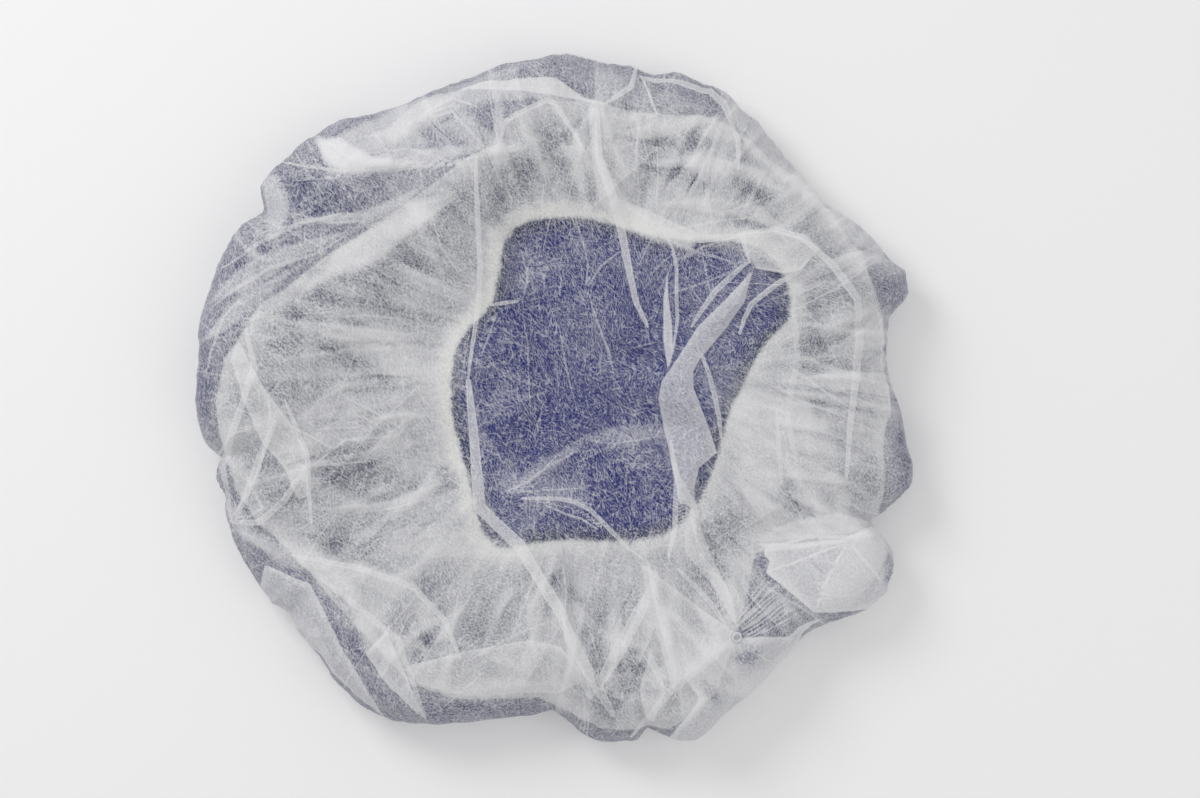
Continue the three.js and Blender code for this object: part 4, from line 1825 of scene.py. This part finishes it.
@dataclass
class CapSheet:
    """The cap's one sheet of web: crown, rim and gathered skirt."""

    form: CapForm
    folds: FoldField
    weld: np.ndarray
    fan: WeldFan = WeldFan()
    cells: int = 314
    crown_closeness: float = 0.28  # how much closer together the cut's rows lie on the crown
    gathers: int = 148
    gather_height: float = 2.1
    rim_ripple: float = 1.5
    lowest: float = 0.15  # of the folds that lie on the ground
    wall_plies: float = 3.2  # the layers seen through each other where the web stands steep
    name: str = "cap_sheet"
    # How plainly the hem shows through the crown, by degrees from the cap's right.
    hem_show: tuple[tuple[float, float], ...] = (
        (0, 0.30), (40, 0.35), (75, 0.75), (110, 0.85), (150, 1.0), (200, 1.0), (235, 0.55), (270, 0.25),
        (315, 0.20), (360, 0.30),
    )

    def cut(self) -> tuple[np.ndarray, np.ndarray, np.ndarray]:
        """The flat cut as an even grid of squares drawn out to a round.

        Returns:
            The points' directions, their shares of the way to the edge, and the faces.
        """
        steps = np.linspace(-1.0, 1.0, self.cells + 1)
        a, b = (grid.ravel() for grid in np.meshgrid(steps, steps, indexing="ij"))
        wide = np.abs(a) > np.abs(b)
        share = np.where(wide, a, b)
        safe = np.where(share == 0, 1.0, share)
        angle = np.where(wide, math.pi / 4 * b / safe, math.pi / 2 - math.pi / 4 * a / safe)
        angle = np.where(share < 0, angle + math.pi, angle) % (2 * math.pi)
        share = np.abs(share)
        share = (1 - self.crown_closeness) * share + self.crown_closeness * share**4
        index = np.arange((self.cells + 1) ** 2).reshape(self.cells + 1, self.cells + 1)
        corners = (index[:-1, :-1], index[1:, :-1], index[1:, 1:], index[:-1, 1:])
        faces = np.stack([corner.ravel() for corner in corners], axis=1)
        return angle, share, faces

    def gather(self, angle: np.ndarray, share: np.ndarray) -> np.ndarray:
        """The height of the skirt's gathers, which grow towards the hem.

        Args:
            angle: The directions of the points of the cut.
            share: Their shares of the way from the pole to the hem.

        Returns:
            The height at each point, in millimetres.
        """
        rim = self.form.by_direction(self.form.rim_share, angle)
        way = np.clip((share - rim) / (1 - rim), 0, 1)
        noise = self.folds.warp
        drift = 1.6 * noise.at(4 * np.cos(angle) + 9, 4 * np.sin(angle) + 9)
        coarse = np.cos(self.gathers / 3 * angle + 2.2 * drift + 1.5 * way)
        fine = np.cos(self.gathers * angle + 5 * drift)
        swell = 0.75 + 0.35 * noise.at(9 * np.cos(angle) + 40, 9 * np.sin(angle) + 3 * way)
        size = self.gather_height * swell
        return size * (0.55 * way**0.8 * (1 - way) * coarse + way**1.6 * fine)

    def build(self, finish: bpy.types.Material) -> bpy.types.Object:
        """Builds and dresses the sheet in its folds, with what its material reads.

        Args:
            finish: The web's material.

        Returns:
            The piece, on the body that it rides on.
        """
        angle, share, faces = self.cut()
        places = self.form.place(angle, share)
        normals = self.form.normal(angle, share)
        x, y = places[:, 0].copy(), places[:, 1].copy()
        lie = self.folds.at(x, y)
        wall = rounded_step(0.35, -0.1, normals[:, 2])
        waves = self.rim_waves(angle, share)
        lie.plies += self.wall_plies * wall * (1 + 0.4 * waves)
        past_rim = share - self.form.by_direction(self.form.rim_share, angle)
        crown = rounded_step(0.02, -0.10, past_rim)
        near_weld = rounded_step(3.5, 8.0, np.hypot(x - self.weld[0], y - self.weld[1]))
        under_rim = 0.2 * rounded_step(-0.35, 0.0, past_rim) + 0.8 * rounded_step(0.0, 0.05, past_rim)
        ripple = self.rim_ripple * waves * under_rim
        radius = share * FLAT_DIAMETER / 2
        flat = np.stack([radius * np.cos(angle), radius * np.sin(angle), np.zeros(len(angle))], axis=1)
        crumple = self.folds.facets(flat[:, 0], flat[:, 1]) * (1 - 0.75 * rounded_step(0.05, 0.3, past_rim))
        rise = (lie.rise * crown + crumple) * near_weld
        rise += ripple * (1 - rounded_step(0.0, 0.2, past_rim))
        places += normals * rise[:, None]
        places[:, 2] += self.gather(angle, share)
        places[:, 2] = np.maximum(places[:, 2], self.lowest)
        piece = mesh_piece(self.name, places, faces, finish)
        give_attribute(piece, "cut_place", flat)
        give_attribute(piece, "hem_show", self.hem_shows(x, y))
        meeting = self.fan.meeting_point(self.weld)
        weld_place = np.stack([x - meeting[0], y - meeting[1], np.zeros(len(x))], axis=1)
        give_attribute(piece, "weld_place", weld_place)
        for name, values in lie.readings().items():
            give_attribute(piece, name, values)
        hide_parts("bouffant_body")
        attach(piece, "root")
        return piece

    def hem_shows(self, x: np.ndarray, y: np.ndarray) -> np.ndarray:
        """How plainly the hem shows at places, by their direction from the mouth's centre.

        Args:
            x: The places' first coordinates.
            y: The places' second coordinates.

        Returns:
            The shares, from 0 to 1.
        """
        across, up = x - self.form.mouth_centre[0], y - self.form.mouth_centre[1]
        degrees, shows = zip(*self.hem_show)
        return np.interp(np.degrees(np.arctan2(up, across)) % 360.0, degrees, shows)

    def rim_waves(self, angle: np.ndarray, share: np.ndarray) -> np.ndarray:
        """The slack of the web over the rim: uneven straight-sided ripples that run outwards.

        Args:
            angle: The directions of the points of the cut.
            share: Their shares of the way from the pole to the hem.

        Returns:
            The height of the ripples, between -1 and 1.
        """
        noise = self.folds.calm
        drift = 3.2 * noise.at(5 * np.cos(angle) + 70, 5 * np.sin(angle) + 70)
        strength = 0.5 + 0.5 * noise.at(7 * np.cos(angle) + 20, 7 * np.sin(angle) + 90)
        first = triangle_wave(19 * angle / math.pi + drift)
        second = triangle_wave(31 * angle / math.pi - 2 * drift + 0.3 * share)
        return strength * first + (1 - strength) * second


@dataclass
class GatheredHem:
    """The hem casing, gathered over the elastic."""

    form: CapForm
    steps_around: int = 1480
    gathers: int = 148
    gather_reach: float = 0.35
    gather_height: float = 0.5
    top_room: float = 0.6  # from the casing to the frame's top, for the gathers
    cut_width: float = 24.0  # of the turned edge, around the casing
    seed: int = 23
    name: str = "gathered_hem"
    # The casing's section: share of its width from the mouth, share of its height, and how much of a
    # gather it takes.
    section: tuple[tuple[float, float, float], ...] = (
        (0.14, 0.0, 0.0), (0.03, 0.14, 0.4), (0.0, 0.42, 0.8), (0.05, 0.74, 1.0), (0.2, 0.93, 1.0),
        (0.42, 1.0, 1.0), (0.64, 0.97, 1.0), (0.83, 0.88, 0.9), (0.96, 0.66, 0.7), (1.0, 0.38, 0.5),
        (0.95, 0.12, 0.3), (0.84, 0.0, 0.0), (0.6, 0.0, 0.0), (0.38, 0.0, 0.0),
    )

    def build(self, finish: bpy.types.Material) -> bpy.types.Object:
        """Builds and dresses the casing as a gathered ring around the mouth.

        Args:
            finish: The hem's material.

        Returns:
            The piece, on the body that it rides on.
        """
        angle = np.arange(self.steps_around) * 2 * math.pi / self.steps_around
        inner = self.form.by_direction(self.form.mouth_reach, angle)
        outer = self.form.by_direction(self.form.hem_reach, angle)
        noise = SmoothNoise(self.seed)
        drift = noise.at(6 * np.cos(angle) + 9, 6 * np.sin(angle) + 9)
        swell = 0.7 + 0.3 * noise.at(20 * np.cos(angle), 20 * np.sin(angle))
        waves = np.cos(self.gathers * angle + 7 * drift) * swell
        rings = []
        for across, up, taken in self.section:
            reach = inner + (outer - inner) * across
            reach = reach + self.gather_reach * taken * waves * np.sign(across - 0.5)
            height = up * (self.form.hem_height - self.top_room) + self.gather_height * taken * waves
            x = self.form.mouth_centre[0] + reach * np.cos(angle)
            y = self.form.mouth_centre[1] + reach * np.sin(angle)
            rings.append(np.stack([x, y, np.maximum(height, 0.0)], axis=1))
        faces = ring_faces(len(rings), self.steps_around)
        piece = mesh_piece(self.name, np.concatenate(rings), faces, finish)
        around = np.tile(angle * FLAT_DIAMETER / 2, len(rings))
        along = np.repeat(np.linspace(0.0, self.cut_width, len(rings)), self.steps_around)
        give_attribute(piece, "cut_place", np.stack([around, along, np.zeros(len(around))], axis=1))
        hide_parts("hem_casing")
        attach(piece, "root")
        return piece


@dataclass
class WeldSpot:
    """The small spot that fuses the crown's pleats: a pressed dish with a raised edge."""

    node: bpy.types.Object
    rings: int = 14
    sides: int = 48
    radius: float = 2.6
    edge_reach: float = 2.0  # of the raised edge, from the middle
    edge_width: float = 0.35
    edge_height: float = 0.4
    grid_pitch: float = 0.8
    grid_height: float = 0.08
    dome: float = 0.25
    lift: float = 0.25
    sunk: float = 0.35  # how far the spot's lower side lies below the web's face
    lower_share: float = 0.96  # of its radius, at its lower side
    name: str = "weld_spot"

    def centre(self) -> np.ndarray:
        """The middle of the weld, in millimetres."""
        low, high = (np.array(corner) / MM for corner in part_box(self.node.name))
        return (low + high) / 2

    def seat(self, form: CapForm) -> tuple[np.ndarray, np.ndarray]:
        """Where on the crown's slope the spot sits.

        Args:
            form: The cap's form.

        Returns:
            The place on the crown's face, and the matrix that turns the spot onto the slope.
        """
        middle = self.centre()
        angle = np.array([math.atan2(middle[1], middle[0])])
        reach = np.hypot(form.places[..., 0], form.places[..., 1])
        row = int(round(angle[0] / (2 * math.pi) * form.DIRECTIONS)) % form.DIRECTIONS
        station = int(np.argmax(reach[row] > np.hypot(middle[0], middle[1])))
        share = np.array([station / (form.STATIONS - 1)])
        normal = Vector(form.normal(angle, share)[0]).normalized()
        turn = np.array(Vector((0, 0, 1)).rotation_difference(normal).to_matrix())
        return form.place(angle, share)[0], turn

    def build(self, form: CapForm, finish: bpy.types.Material) -> bpy.types.Object:
        """Builds and dresses the spot.

        Args:
            form: The cap's form.
            finish: The fused web's material.

        Returns:
            The piece, on the body that it rides on.
        """
        on_face, turn = self.seat(form)
        radii = np.linspace(0.02, 1.0, self.rings) * self.radius
        turns = np.arange(self.sides) * 2 * math.pi / self.sides
        edge = np.exp(-(((radii - self.edge_reach) / self.edge_width) ** 2))
        grid = self.grid_height * np.cos(2 * math.pi * radii / self.grid_pitch)
        dome = self.dome * (1 - (radii / self.radius) ** 4)
        heights = self.lift + dome + self.edge_height * edge + grid
        points = []
        for radius, height in zip(radii, heights):
            ring = (radius * np.cos(turns), radius * np.sin(turns), np.full(self.sides, height))
            points.append(np.stack(ring, axis=1))
        points.append(points[-1] * (self.lower_share, self.lower_share, 0) - (0, 0, self.sunk))
        points.append(points[0] * (1, 1, 0) - (0, 0, self.sunk))
        flat = np.concatenate(points)
        faces = ring_faces(len(points), self.sides)
        piece = mesh_piece(self.name, flat @ turn.T + on_face, faces, finish)
        give_attribute(piece, "cut_place", flat)
        give_attribute(piece, "raised_edge", np.repeat([*edge, edge[-1], edge[0]], self.sides))
        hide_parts("pleat_weld")
        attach(piece, "root")
        return piece


# ------------------------------------------------------------------ studio


@dataclass(frozen=True)
class Studio:
    """A pale floor, soft light and a camera straight above the cap, in metres."""

    view_width: float = 0.540  # of what the camera sees at the cap, across
    cap_offset: float = 0.0214  # how far the cap's middle lies left of the view's
    camera_height: float = 2.4
    lens: float = 100.0
    cap_height: float = 0.03  # at which the view's width is taken
    surround: float = 0.62
    floor_width: float = 6.0
    floor_drop: float = 0.0002
    floor_tone: Tone = (0.955, 0.955, 0.96)

    def floor(self) -> None:
        """A wide pale floor with a faint grain, just below the cap."""
        mesh = bpy.data.meshes.new("floor")
        half = self.floor_width / 2
        corners = [(-half, -half, 0), (half, -half, 0), (half, half, 0), (-half, half, 0)]
        mesh.from_pydata(corners, [], [(0, 1, 2, 3)])
        floor = in_scene("floor", mesh)
        material, bench, shader = new_finish("pale floor")
        shader.inputs["Base Color"].default_value = (*self.floor_tone, 1.0)
        noise = bench.add("ShaderNodeTexNoise")
        noise.inputs["Scale"].default_value = 40.0
        bench.feed(shader.inputs["Roughness"], bench.step(noise.outputs["Fac"], 0.2, 0.8, 0.72, 0.82))
        mesh.materials.append(material)
        floor.location.z = -self.floor_drop

    def camera(self) -> None:
        """The camera, looking straight down with the cap's far side up."""
        data = bpy.data.cameras.new("camera")
        data.lens = self.lens
        data.sensor_width = self.lens * self.view_width / (self.camera_height - self.cap_height)
        camera = in_scene("camera", data)
        camera.location = (self.cap_offset, 0.0, self.camera_height)
        bpy.context.scene.camera = camera

    def light(self) -> None:
        """A soft key from the upper left, a weaker fill, and an even surround."""
        world = bpy.data.worlds.new("studio")
        world.use_nodes = True
        sky = world.node_tree.nodes["Background"]
        sky.inputs["Color"].default_value = (1.0, 1.0, 1.0, 1.0)
        sky.inputs["Strength"].default_value = self.surround
        bpy.context.scene.world = world
        for name, place, size, power in (
            ("key", (-0.9, 0.9, 1.1), 0.7, 9.0),
            ("fill", (1.1, -0.5, 1.3), 1.2, 3.0),
        ):
            data = bpy.data.lights.new(name, "AREA")
            data.size = size
            data.energy = power
            lamp = in_scene(name, data)
            lamp.location = place
            lamp.rotation_euler = (-Vector(place)).to_track_quat("-Z", "Y").to_euler()
        bpy.context.scene.view_settings.view_transform = "Standard"

    def build(self) -> None:
        """Everything around the cap."""
        self.camera()
        self.floor()
        self.light()


def report(piece: bpy.types.Object) -> None:
    """Logs a piece's size and its number of faces."""
    size = [round(value / MM, 1) for value in piece.dimensions]
    log.info("%s: %s mm, %d faces", piece.name, size, len(piece.data.polygons))


def main() -> None:
    """Builds the cap around the frame, and the studio around the cap."""
    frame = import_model()
    nodes = frame["nodes"]
    Studio().build()
    form = CapForm(nodes["bouffant_body"], nodes["hem_casing"])
    weld = WeldSpot(nodes["pleat_weld"])
    folds = FoldField(form)
    sheet = CapSheet(form, folds, weld.centre()[:2]).build(WebFinish().make())
    report(sheet)
    hem = GatheredHem(form).build(GatheredHemFinish().make())
    report(hem)
    report(weld.build(form, WeldFinish().make()))
    elastic = nodes["elastic_band"]
    elastic.data.materials.clear()
    elastic.data.materials.append(ElasticFinish().make())
    report(elastic)


if __name__ == "__main__":
    main()
